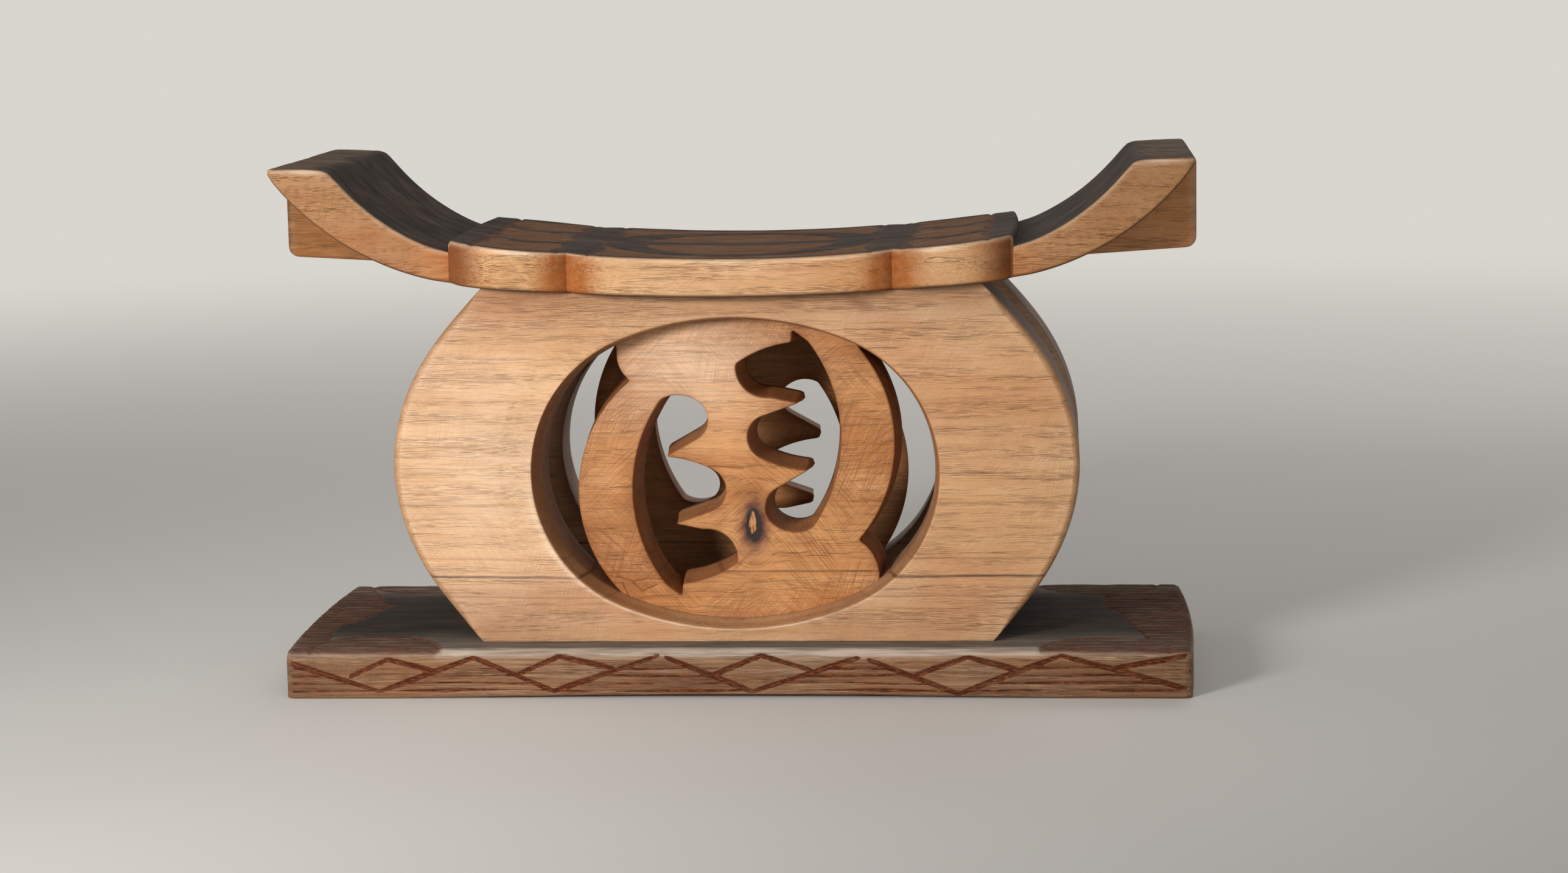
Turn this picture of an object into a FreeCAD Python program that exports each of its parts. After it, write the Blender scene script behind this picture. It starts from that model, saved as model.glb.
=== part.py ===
import FreeCAD, Part
import math
import os

# Ashanti stool: a curved seat on two pierced panels, pegged to a flat plank.
# Millimetres, +Z up, +X to the sitter's left-right, front at -Y.
# The origin is the middle of the plank's underside.

# shared fits
cutOverrun = 2.0          # how far a cutting tool runs past the face it cuts
glueLine = 0.2            # gap left for glue where curved wood meets curved wood
dowelClearance = 0.2      # gap all round a peg in its hole
dowelEndGap = 0.8         # glue room past each end of a peg

# plank under the stool
baseLength = 450.0
baseDepth = 172.0
baseThickness = 25.0
baseEndSwell = 3.0        # how far each short end bulges past its corners
baseCornerRadius = 4.0
baseTopRounding = 4.5

# pierced panels, front and rear
panelSetback = 17.0       # from the plank's long edge to the panel's face
panelThickness = 45.0
panelHeight = 171.5       # from the plank to the seat, at the middle
panelTopWidth = 243.0
panelWidest = 337.0
panelFootWidth = 252.0
panelWidestHeight = 86.0  # above the plank
# the flank between its widest place and its corners: share of the half-width gained,
# then share of the height reached
upperFlankShares = ((0.755, 0.51),)
lowerFlankShares = ((0.67, 0.57),)

# window in each panel, a carpenter's oval struck from four centres
panelStile = 68.0          # wood left beside the window, at the panel's widest
panelHeadRail = 11.0       # and above it, at the middle
panelFootRail = 6.5        # and below it
windowEndShare = 0.922     # radius of the two end arcs, of the window's half-height
windowRecess = 16.0        # face of the panel to face of the symbol
windowBevel = 2.6          # how far the recess wall leans in

# the symbol that fills the window, as shares of the window's half-width and half-height,
# about its own centre; a row of two places is a line, of three an arc
symbolRise = 2.6           # centre of the symbol above the window's centre
innerOpeningShares = (
    ((0.004, 0.644), (0.045, 0.485), (0.172, 0.426)),
    ((0.172, 0.426), (0.308, 0.388)),
    ((0.308, 0.388), (0.115, 0.300)),
    ((0.115, 0.300), (0.055, 0.170), (0.112, 0.042)),
    ((0.112, 0.042), (0.215, -0.014), (0.349, -0.048)),
    ((0.349, -0.048), (0.190, -0.165)),
    ((0.190, -0.165), (0.138, -0.300), (0.194, -0.411)),
    ((0.194, -0.411), (0.283, -0.447), (0.368, -0.418)),
    ((0.368, -0.418), (0.512, 0.090), (0.359, 0.787)),
    ((0.359, 0.787), (0.283, 0.861)),
    ((0.283, 0.861), (0.279, 0.779)),
    ((0.279, 0.779), (0.135, 0.735), (0.004, 0.644)),
)
# inner edge of the crescent cut on each side, from the top down; the window closes it
rightCrescentShares = (
    ((0.600, 0.900), (0.604, 0.748)),
    ((0.604, 0.748), (0.778, 0.090), (0.594, -0.500)),
    ((0.594, -0.500), (0.692, -0.690), (0.610, -0.960)),
)
leftCrescentShares = (
    ((-0.590, 0.900), (-0.580, 0.720)),
    ((-0.580, 0.720), (-0.562, 0.610), (-0.517, 0.543)),
    ((-0.517, 0.543), (-0.779, -0.060), (-0.580, -0.844)),
    ((-0.580, -0.844), (-0.500, -0.960)),
)

# seat: a long curved board with a raised, lobed saddle in the middle
seatMidThickness = 18.7
saddleLength = 278.0
saddleDepth = 164.0
saddleTopDip = 9.7         # how far the middle of the saddle lies below its ends
undersideDip = 5.7         # the same for the underside, over its flatter middle stretch
undersideMidLength = 254.0
notchSpacing = 158.0       # between the two V-notches of one long edge
notchDepth = 9.0
saddleEndInset = 9.0       # the saddle's corners lie this far inside its full depth
saddleEndSwell = 2.0
# front edge of the saddle between notch and notch, and between notch and end:
# share of the stretch, then share of the notch depth still missing
middleEdgeShares = ((0.085, 0.20), (0.19, 0.03), (0.5, 0.0), (0.81, 0.03), (0.915, 0.20))
lobeEdgeShares = ((0.20, 0.24), (0.48, 0.0), (0.76, 0.30))
wingTipSpan = 448.0
wingTipHeight = 64.5       # of the tips' top above the middle of the seat's underside
wingTipFace = 2.8          # the thin upright end of each wing
wingTipDepth = 160.0
wingWaistDepth = 134.0     # of the long board at the middle, hidden under the saddle
wingRootThickness = 15.2
wingTopHollow = 5.6        # how far the wing's upper curve sags below its chord
wingLedge = 29.0           # flat top of each wing tip
wingLedgeRounding = 5.0

# block glued and pegged under each wing
blockOverhang = 2.5        # how far it stands out past the wing's tip
blockDepth = 50.0
blockDrop = 47.5           # its underside below the wing's tip, at the outer end
blockRise = 4.0            # how far that underside climbs towards the outer end
blockLength = 66.0
blockCornerRadius = 5.0

# pegs, cut from round dowel
dowelDiameter = 10.0
dowelSpacing = 196.0       # between the two pegs of one panel's joint
seatDowelInSeat = 11.0
seatDowelInPanel = 15.0
baseDowelInBase = 15.0
baseDowelInPanel = 16.0
blockDowelDiameter = 8.0
blockDowelInset = 22.0     # from the wing's tip
blockDowelSpacing = 26.0
blockDowelInWing = 12.0
blockDowelInBlock = 13.0

# heights and places that follow from the sizes above
panelFrontY = panelSetback - baseDepth / 2
panelMidY = panelFrontY + panelThickness / 2
plateFrontY = panelFrontY + windowRecess
plateThickness = panelThickness - windowRecess
panelBackY = panelFrontY + panelThickness
undersideMidZ = baseThickness + panelHeight
wingTopZ = undersideMidZ + wingTipHeight
windowWidth = panelWidest - 2 * panelStile
windowHeight = panelHeight - panelHeadRail - panelFootRail
windowCentreZ = baseThickness + panelFootRail + windowHeight / 2
symbolCentreZ = windowCentreZ + symbolRise
wingTipX = wingTipSpan / 2
clearAbove = wingTopZ + baseThickness


def at(x, y, z):
    return FreeCAD.Vector(x, y, z)


def arcThrough(first, middle, last):
    return Part.Arc(first, middle, last).toShape()


def smoothEdge(points):
    curve = Part.BSplineCurve()
    curve.interpolate(points)
    return curve.toShape()


def edgeThrough(points):
    # two places make a line, three an arc
    if len(points) == 2:
        return Part.makeLine(*points)
    return arcThrough(*points)


def closedOutline(edges):
    return Part.Wire(Part.__sortEdges__(edges))


def sweptAlong(wire, run):
    return Part.Face(wire).extrude(run)


def mirroredPoints(points):
    return [at(-p.x, p.y, p.z) for p in reversed(points)]


# the seat's underside: a flat arc in the middle that runs on, tangent, into each wing

def arcRadius(halfChord, rise):
    return (halfChord ** 2 + rise ** 2) / (2 * rise)


undersideJoinX = undersideMidLength / 2
undersideRadius = arcRadius(undersideJoinX, undersideDip)
joinSlope = math.asin(undersideJoinX / undersideRadius)
wingLowZ = wingTopZ - wingTipFace
joinZ = undersideMidZ + undersideDip
chordX = wingTipX - undersideJoinX
chordZ = wingLowZ - joinZ
wingTurn = math.atan2(chordZ, chordX) - joinSlope
wingRadius = math.hypot(chordX, chordZ) / (2 * math.sin(wingTurn))
wingArcX = undersideJoinX - wingRadius * math.sin(joinSlope)
wingArcZ = joinZ + wingRadius * math.cos(joinSlope)


def undersideHeight(x):
    if abs(x) <= undersideJoinX:
        return undersideMidZ + undersideRadius - math.sqrt(undersideRadius ** 2 - x ** 2)
    return wingArcZ - math.sqrt(wingRadius ** 2 - (abs(x) - wingArcX) ** 2)


def undersideEdges(y, drop):
    endX = wingTipX + blockOverhang + cutOverrun
    halfwayX = (undersideJoinX + endX) / 2

    def on(x):
        return at(x, y, undersideHeight(x) - drop)

    return [
        arcThrough(on(-endX), on(-halfwayX), on(-undersideJoinX)),
        arcThrough(on(-undersideJoinX), on(0), on(undersideJoinX)),
        arcThrough(on(undersideJoinX), on(halfwayX), on(endX)),
    ]


def spaceUnderSeat(drop):
    # everything below the seat's underside, lowered by drop
    y = -baseDepth
    edges = undersideEdges(y, drop)
    left = edges[0].Vertexes[0].Point
    right = edges[2].Vertexes[1].Point
    corners = [right, at(right.x, y, -cutOverrun), at(left.x, y, -cutOverrun), left]
    edges += [Part.makeLine(a, b) for a, b in zip(corners, corners[1:])]
    return sweptAlong(closedOutline(edges), at(0, 2 * baseDepth, 0))


# plank

def makeBase():
    halfX = baseLength / 2 - baseEndSwell
    halfY = baseDepth / 2
    front = Part.makeLine(at(-halfX, -halfY, 0), at(halfX, -halfY, 0))
    right = arcThrough(at(halfX, -halfY, 0), at(baseLength / 2, 0, 0), at(halfX, halfY, 0))
    rear = Part.makeLine(at(halfX, halfY, 0), at(-halfX, halfY, 0))
    left = arcThrough(at(-halfX, halfY, 0), at(-baseLength / 2, 0, 0), at(-halfX, -halfY, 0))
    plank = sweptAlong(closedOutline([front, right, rear, left]), at(0, 0, baseThickness))
    plank = plank.makeFillet(baseCornerRadius, [e for e in plank.Edges if isUpright(e)])
    plank = plank.makeFillet(baseTopRounding, edgesAtHeight(plank, baseThickness))
    for hole in pegHoles(basePegPlaces(), dowelDiameter):
        plank = plank.cut(hole)
    return plank


def isUpright(edge):
    a, b = edge.Vertexes[0].Point, edge.Vertexes[-1].Point
    return math.isclose(a.x, b.x) and math.isclose(a.y, b.y)


def edgesAtHeight(shape, height):
    return [e for e in shape.Edges
            if math.isclose(e.BoundBox.ZMin, height, abs_tol=glueLine)
            and math.isclose(e.BoundBox.ZMax, height, abs_tol=glueLine)]


# panels

def flankPoints():
    # right-hand flank from the foot to the seat
    wide, foot, top = panelWidest / 2, panelFootWidth / 2, panelTopWidth / 2
    wideZ = baseThickness + panelWidestHeight
    topZ = undersideHeight(top)
    points = [at(foot, panelFrontY, baseThickness)]
    for gained, reached in reversed(lowerFlankShares):
        points.append(at(foot + (wide - foot) * gained, panelFrontY,
                         wideZ - panelWidestHeight * reached))
    points.append(at(wide, panelFrontY, wideZ))
    for gained, reached in upperFlankShares:
        points.append(at(top + (wide - top) * gained, panelFrontY,
                         wideZ + (topZ - wideZ) * reached))
    points.append(at(top, panelFrontY, topZ))
    return points


def windowOutline(y, lean):
    # four tangent arcs: the ends have their given radius and the long arcs must then pass
    # through the top and bottom and touch the end arcs
    halfX, halfZ = windowWidth / 2 - lean, windowHeight / 2 - lean
    endRadius = windowEndShare * windowHeight / 2 - lean
    longRadius = (halfX ** 2 + halfZ ** 2 - 2 * halfX * endRadius) / (2 * (halfZ - endRadius))
    endX = halfX - endRadius
    longZ = longRadius - halfZ
    turn = math.atan2(endX, longZ)
    meetX, meetZ = longRadius * math.sin(turn), longRadius * math.cos(turn) - longZ

    def on(x, z):
        return at(x, y, windowCentreZ + z)

    return Part.Wire([
        arcThrough(on(-meetX, meetZ), on(0, halfZ), on(meetX, meetZ)),
        arcThrough(on(meetX, meetZ), on(halfX, 0), on(meetX, -meetZ)),
        arcThrough(on(meetX, -meetZ), on(0, -halfZ), on(-meetX, -meetZ)),
        arcThrough(on(-meetX, -meetZ), on(-halfX, 0), on(-meetX, meetZ)),
    ])


def symbolPoint(share, y):
    return at(share[0] * windowWidth / 2, y, symbolCentreZ + share[1] * windowHeight / 2)


def strokeEdges(strokes, y):
    return [edgeThrough([symbolPoint(p, y) for p in stroke]) for stroke in strokes]


def innerOpening():
    # the cut with the two teeth; the same cut turned half round makes the other one
    y = plateFrontY - cutOverrun
    outline = Part.Wire(strokeEdges(innerOpeningShares, y))
    return sweptAlong(outline, at(0, plateThickness + 2 * cutOverrun, 0))


def crescentOpening(strokes, side, throughWindow):
    # all that lies outside the stroke on its side, kept within the window
    y = plateFrontY - cutOverrun
    edges = strokeEdges(strokes, y)
    top = symbolPoint(strokes[0][0], y)
    bottom = symbolPoint(strokes[-1][-1], y)
    outerX = side * panelWidest / 2
    corners = [bottom, at(outerX, y, bottom.z), at(outerX, y, top.z), top]
    edges += [Part.makeLine(a, b) for a, b in zip(corners, corners[1:])]
    run = panelBackY + cutOverrun - y
    return sweptAlong(Part.Wire(edges), at(0, run, 0)).common(throughWindow)


def makeFrontPanel():
    right = flankPoints()
    foot = baseThickness
    head = undersideHeight(undersideJoinX) + cutOverrun
    topRight = at(right[-1].x, panelFrontY, head)
    topLeft = at(-right[-1].x, panelFrontY, head)
    left = mirroredPoints(right)
    edges = [
        smoothEdge(right),
        Part.makeLine(right[-1], topRight),
        Part.makeLine(topRight, topLeft),
        Part.makeLine(topLeft, left[0]),
        smoothEdge(left),
        Part.makeLine(at(left[-1].x, panelFrontY, foot), right[0]),
    ]
    board = sweptAlong(closedOutline(edges), at(0, panelThickness, 0))
    board = board.common(spaceUnderSeat(glueLine))

    frontLean = -windowBevel * cutOverrun / windowRecess
    recess = Part.makeLoft([windowOutline(panelFrontY - cutOverrun, frontLean),
                            windowOutline(plateFrontY, windowBevel)], True, True)
    board = board.cut(recess)

    through = sweptAlong(windowOutline(plateFrontY - cutOverrun, windowBevel),
                         at(0, plateThickness + 2 * cutOverrun, 0))
    board = board.cut(crescentOpening(rightCrescentShares, 1, through))
    board = board.cut(crescentOpening(leftCrescentShares, -1, through))

    opening = innerOpening()
    board = board.cut(opening)
    turned = opening.copy()
    turned.rotate(at(0, 0, symbolCentreZ), at(0, 1, 0), 180)
    board = board.cut(turned)

    for hole in pegHoles(seatPegPlaces() + basePegPlaces(), dowelDiameter):
        board = board.cut(hole)
    return board


def turnedAboutMiddle(shape):
    # the rear panel is the same carving facing the other way
    turned = shape.copy()
    turned.rotate(at(0, 0, 0), at(0, 0, 1), 180)
    return turned


# seat

def saddleOutline(z):
    full = saddleDepth / 2
    endX = saddleLength / 2 - saddleEndSwell
    notchX = notchSpacing / 2
    cornerY = full - saddleEndInset

    def rim(x, missing):
        return at(x, -(full - missing), z)

    middle = [rim(-notchX, notchDepth)]
    middle += [rim(-notchX + notchSpacing * along, notchDepth * short)
               for along, short in middleEdgeShares]
    middle += [rim(notchX, notchDepth)]
    lobe = [rim(notchX, notchDepth)]
    for along, short in lobeEdgeShares:
        lobe.append(rim(notchX + (endX - notchX) * along, notchDepth * short))
    lobe.append(at(endX, -cornerY, z))
    front = [smoothEdge(mirroredPoints(lobe)), smoothEdge(middle), smoothEdge(lobe)]
    end = arcThrough(at(endX, -cornerY, z), at(saddleLength / 2, 0, z), at(endX, cornerY, z))
    edges = front + [end]
    for edge in front + [end]:
        turned = edge.copy()
        turned.rotate(at(0, 0, 0), at(0, 0, 1), 180)
        edges.append(turned)
    return closedOutline(edges)


def saddleTopCutter():
    halfX = saddleLength / 2
    midZ = undersideMidZ + seatMidThickness
    y = -baseDepth
    radius = arcRadius(halfX, saddleTopDip)
    wideX = halfX + cutOverrun
    wideZ = midZ + radius - math.sqrt(radius ** 2 - wideX ** 2)
    curve = arcThrough(at(-wideX, y, wideZ), at(0, y, midZ), at(wideX, y, wideZ))
    corners = [at(wideX, y, wideZ), at(wideX, y, clearAbove), at(-wideX, y, clearAbove),
               at(-wideX, y, wideZ)]
    edges = [curve] + [Part.makeLine(a, b) for a, b in zip(corners, corners[1:])]
    return sweptAlong(closedOutline(edges), at(0, 2 * baseDepth, 0))


def wingTopCurve(y):
    # from the saddle up to the ledge, on the right: ends, and the sagging point between
    rootX = saddleLength / 2
    root = at(rootX, y, undersideHeight(rootX) + wingRootThickness)
    lip = at(wingTipX - wingLedge, y, wingTopZ)
    chord = lip - root
    across = at(chord.z, 0, -chord.x).normalize()
    sag = (root + lip) * 0.5 + across * wingTopHollow
    return root, sag, lip


def boardTopCutter():
    # everything above the long board: the wings' upper curves, ledges and the hidden middle
    y = -baseDepth
    root, sag, lip = wingTopCurve(y)
    hiddenDip = at(0, y, undersideMidZ + wingRootThickness / 2)
    outX = wingTipX + blockOverhang + cutOverrun
    corners = [at(lip.x, y, lip.z), at(outX, y, wingTopZ), at(outX, y, clearAbove),
               at(-outX, y, clearAbove), at(-outX, y, wingTopZ), at(-lip.x, y, lip.z)]
    edges = [Part.makeLine(a, b) for a, b in zip(corners, corners[1:])]
    edges.append(arcThrough(root, sag, lip))
    edges.append(arcThrough(*mirroredPoints([root, sag, lip])))
    edges.append(arcThrough(at(-root.x, y, root.z), hiddenDip, root))
    cutter = sweptAlong(closedOutline(edges), at(0, 2 * baseDepth, 0))
    lips = [e for e in cutter.Edges if isLipEdge(e, lip)]
    return cutter.makeFillet(wingLedgeRounding, lips)


def isLipEdge(edge, lip):
    ends = [v.Point for v in edge.Vertexes]
    return all(math.isclose(abs(p.x), lip.x) and math.isclose(p.z, lip.z) for p in ends)


def makeSeat():
    tipY, waistY = wingTipDepth / 2, wingWaistDepth / 2
    low = undersideMidZ - cutOverrun
    front = arcThrough(at(-wingTipX, -tipY, low), at(0, -waistY, low), at(wingTipX, -tipY, low))
    rear = arcThrough(at(wingTipX, tipY, low), at(0, waistY, low), at(-wingTipX, tipY, low))
    ends = [Part.makeLine(at(wingTipX, -tipY, low), at(wingTipX, tipY, low)),
            Part.makeLine(at(-wingTipX, tipY, low), at(-wingTipX, -tipY, low))]
    plan = closedOutline([front, ends[0], rear, ends[1]])
    under = spaceUnderSeat(0)
    board = sweptAlong(plan, at(0, 0, clearAbove - low - cutOverrun))
    board = board.cut(under).cut(boardTopCutter())
    saddle = sweptAlong(saddleOutline(low), at(0, 0, clearAbove - low - cutOverrun))
    saddle = saddle.cut(under).cut(saddleTopCutter())
    seat = board.fuse(saddle).removeSplitter()
    for hole in pegHoles(seatPegPlaces(), dowelDiameter):
        seat = seat.cut(hole)
    for hole in pegHoles(blockPegPlaces(), blockDowelDiameter):
        seat = seat.cut(hole)
    return seat


# blocks under the wings

def makeRightBlock():
    outX = wingTipX + blockOverhang
    inX = outX - blockLength
    low = wingTopZ - blockDrop
    high = wingTopZ - wingTipFace
    profile = [(inX, low - blockRise), (outX, low), (outX, high), (inX, high)]
    corners = [at(x, -blockDepth / 2, z) for x, z in profile]
    body = sweptAlong(Part.makePolygon(corners + corners[:1]), at(0, blockDepth, 0))
    corner = [e for e in body.Edges
              if all(math.isclose(v.Point.x, outX) and math.isclose(v.Point.z, low)
                     for v in e.Vertexes)]
    body = body.makeFillet(blockCornerRadius, corner)
    body = body.common(spaceUnderSeat(glueLine))
    for hole in pegHoles(blockPegPlaces(), blockDowelDiameter):
        body = body.cut(hole)
    return body


# pegs: each place is the middle of the joint, with the length below and above it

def panelPegPlaces(jointHeight, below, above):
    places = []
    for y in (panelMidY, -panelMidY):
        for x in (-dowelSpacing / 2, dowelSpacing / 2):
            places.append((x, y, jointHeight(x), below, above))
    return places


def seatPegPlaces():
    return panelPegPlaces(undersideHeight, seatDowelInPanel, seatDowelInSeat)


def basePegPlaces():
    return panelPegPlaces(lambda x: baseThickness, baseDowelInBase, baseDowelInPanel)


def blockPegPlaces():
    x = wingTipX - blockDowelInset
    return [(side * x, y, undersideHeight(x), blockDowelInBlock, blockDowelInWing)
            for side in (-1, 1) for y in (-blockDowelSpacing / 2, blockDowelSpacing / 2)]


def pegs(places, diameter):
    return Part.makeCompound([Part.makeCylinder(diameter / 2, below + above, at(x, y, z - below))
                              for x, y, z, below, above in places])


def pegHoles(places, diameter):
    radius = diameter / 2 + dowelClearance
    return [Part.makeCylinder(radius, below + above + 2 * dowelEndGap,
                              at(x, y, z - below - dowelEndGap))
            for x, y, z, below, above in places]


frontPanel = makeFrontPanel()
rightBlock = makeRightBlock()
pieces = {
    "base": makeBase(),
    "front_panel": frontPanel,
    "rear_panel": turnedAboutMiddle(frontPanel),
    "seat": makeSeat(),
    "right_wing_block": rightBlock,
    "left_wing_block": turnedAboutMiddle(rightBlock),
    "base_dowels": pegs(basePegPlaces(), dowelDiameter),
    "seat_dowels": pegs(seatPegPlaces(), dowelDiameter),
    "wing_block_dowels": pegs(blockPegPlaces(), blockDowelDiameter),
}

os.makedirs("parts", exist_ok=True)
for name, shape in pieces.items():
    shape.exportStep("parts/" + name + ".step")
    box = shape.BoundBox
    print(name, len(shape.Solids), "solids", shape.isValid(),
          round(box.XLength, 1), round(box.YLength, 1), round(box.ZLength, 1),
          "volume", round(shape.Volume))
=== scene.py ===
import math
import bpy
import numpy as np
from mathutils import Matrix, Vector
from mathutils.geometry import delaunay_2d_cdt


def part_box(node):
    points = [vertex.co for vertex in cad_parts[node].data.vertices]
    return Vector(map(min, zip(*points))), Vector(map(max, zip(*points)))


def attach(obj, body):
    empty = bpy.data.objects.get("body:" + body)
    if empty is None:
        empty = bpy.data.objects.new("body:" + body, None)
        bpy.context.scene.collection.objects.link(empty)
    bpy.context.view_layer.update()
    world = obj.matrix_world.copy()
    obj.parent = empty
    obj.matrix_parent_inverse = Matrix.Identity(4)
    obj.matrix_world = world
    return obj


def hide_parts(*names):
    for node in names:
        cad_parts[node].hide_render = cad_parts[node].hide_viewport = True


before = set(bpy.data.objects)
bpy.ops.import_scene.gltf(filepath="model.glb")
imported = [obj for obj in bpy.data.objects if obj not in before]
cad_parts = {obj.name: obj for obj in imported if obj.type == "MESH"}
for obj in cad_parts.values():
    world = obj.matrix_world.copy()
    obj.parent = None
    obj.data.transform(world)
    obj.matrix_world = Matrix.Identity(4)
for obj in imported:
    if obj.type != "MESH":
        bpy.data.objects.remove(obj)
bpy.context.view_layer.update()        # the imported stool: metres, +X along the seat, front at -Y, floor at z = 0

# Carved stool: every length below is in millimetres and becomes metres when a mesh is made.
millimetre = 0.001


def nodeBox(node):
    # lowest and highest corner of one of the frame's nodes
    low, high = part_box(node)
    return np.array(low) / millimetre, np.array(high) / millimetre


plankLow, plankHigh = nodeBox("base")
seatLow, seatHigh = nodeBox("seat")
panelLow, panelHigh = nodeBox("front_panel")
plankTop = plankHigh[2]


# small helpers, all on whole arrays

def smooth(value, start, end):
    # 0 before start, 1 after end, and between them three t squared less two t cubed
    t = np.clip((value - start) / (end - start), 0, 1)
    return t * t * (3 - 2 * t)


def unevenness(u, v, seed):
    # slow hand-made wander between -1 and 1: four sine waves that run across u and v at odd angles,
    # each as high as it is long, over the sum of their heights
    rng = np.random.default_rng(seed)
    turns = rng.uniform(0, math.pi, 4)
    phases = rng.uniform(0, 6.28, 4)
    pitches = (1.0, 0.61, 0.37, 0.23)
    total = 0
    for turn, pitch, phase in zip(turns, pitches, phases):
        total = total + pitch * np.sin((u * math.cos(turn) + v * math.sin(turn)) / pitch + phase)
    return total / sum(pitches)


def quadRows(rows, columns, wrapRows=False, wrapColumns=False):
    # corner numbers of the quads of a grid, joined at its ends where it wraps
    r = np.arange(rows if wrapRows else rows - 1)[:, None]
    c = np.arange(columns if wrapColumns else columns - 1)[None, :]
    nextR, nextC = (r + 1) % rows, (c + 1) % columns
    quads = np.stack(np.broadcast_arrays(r * columns + c, r * columns + nextC,
                                         nextR * columns + nextC, nextR * columns + c), -1)
    return quads.reshape(-1, 4)


def insideOutline(points, outline):
    # even-odd rule: how many outline edges lie to the right of each point
    x, y = points[:, 0, None], points[:, 1, None]
    x0, y0 = outline[:, 0], outline[:, 1]
    x1, y1 = np.roll(x0, -1), np.roll(y0, -1)
    crosses = (y0 > y) != (y1 > y)
    rise = np.where(y1 == y0, 1, y1 - y0)
    return (crosses & (x < x0 + (y - y0) * (x1 - x0) / rise)).sum(1) % 2 == 1


def distanceToEdges(points, starts, ends):
    # shortest way from each point to any of the straight edges; a point's foot on an edge is the dot
    # product of the two ways over the edge's length squared, kept between 0 and 1
    best = np.full(len(points), 1e9)
    for a, b in zip(starts, ends):
        run = b - a
        t = np.clip(((points - a) @ run) / max(run @ run, 1e-9), 0, 1)
        best = np.minimum(best, np.hypot(*(points - a - t[:, None] * run).T))
    return best


def triangulate(outlines, inner):
    # triangles between closed outlines and loose inner points; the first outline is the outer one;
    # where two edges cross, the crossing is a new point, numbered after the given ones
    points, edges = [], []
    for outline in outlines:
        first, count = len(points), len(outline)
        points += outline.tolist()
        edges += [(first + k, first + (k + 1) % count) for k in range(count)]
    points += inner.tolist()
    out, _, faces, origin, _, _ = delaunay_2d_cdt(points, edges, [], 0, 1e-5)
    where = np.array([tuple(p) for p in out])
    crossing = [k for k, o in enumerate(origin) if not o]
    back = np.array([o[0] if o else 0 for o in origin])
    back[crossing] = len(points) + np.arange(len(crossing))
    faces = np.array([f for f in faces if len(f) == 3])
    middles = where[faces].mean(1)
    keep = insideOutline(middles, outlines[0])
    for hole in outlines[1:]:
        keep &= ~insideOutline(middles, hole)
    return back[faces[keep]], where[crossing]


def meshPiece(name, points, faces, marks, node, material):
    # points in millimetres; marks are shares per point: stain and painted shade, wear and painted highlight, dirt
    # and painted shade, and nearness to a knife cut.
    # The corner times the cross product of the next two, summed over the triangles, is six times the volume:
    # below zero, the faces point inwards and are turned.
    faces = [np.asarray(block) for block in faces]
    volume = 0
    for block in faces:
        corner = points[block[:, 0]]
        for k in range(1, block.shape[1] - 1):
            volume += np.einsum("ij,ij->", corner, np.cross(points[block[:, k]], points[block[:, k + 1]]))
    if volume < 0:
        faces = [block[:, ::-1] for block in faces]
    mesh = bpy.data.meshes.new(name)
    mesh.from_pydata((points * millimetre).tolist(), [], [f for block in faces for f in block.tolist()])
    mesh.polygons.foreach_set("use_smooth", np.ones(len(mesh.polygons), bool))
    layer = mesh.attributes.new("marks", "FLOAT_COLOR", "POINT")
    marks = np.column_stack([np.clip(marks, 0, 1), np.zeros((len(points), 4 - marks.shape[1]))])
    layer.data.foreach_set("color", marks.ravel())
    mesh.materials.append(material)
    piece = bpy.data.objects.new(name, mesh)
    bpy.context.scene.collection.objects.link(piece)
    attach(piece, "root")
    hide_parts(node)
    print("made", name, len(mesh.polygons), "faces")
    return piece


# materials

def linear(hexColour):
    # sRGB hex to the linear values that a shader takes
    parts = [int(hexColour[k:k + 2], 16) / 255 for k in (1, 3, 5)]
    return [p / 12.92 if p <= 0.04045 else ((p + 0.055) / 1.055) ** 2.4 for p in parts] + [1]


def addNode(tree, kind, settings, links=()):
    # settings: names of the node's own options, or names and numbers of its sockets
    node = tree.nodes.new(kind)
    for key, value in settings.items():
        if isinstance(key, str) and hasattr(node, key):
            setattr(node, key, value)
        else:
            node.inputs[key].default_value = value
    for key, source in dict(links).items():
        tree.links.new(source, node.inputs[key])
    return node


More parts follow.
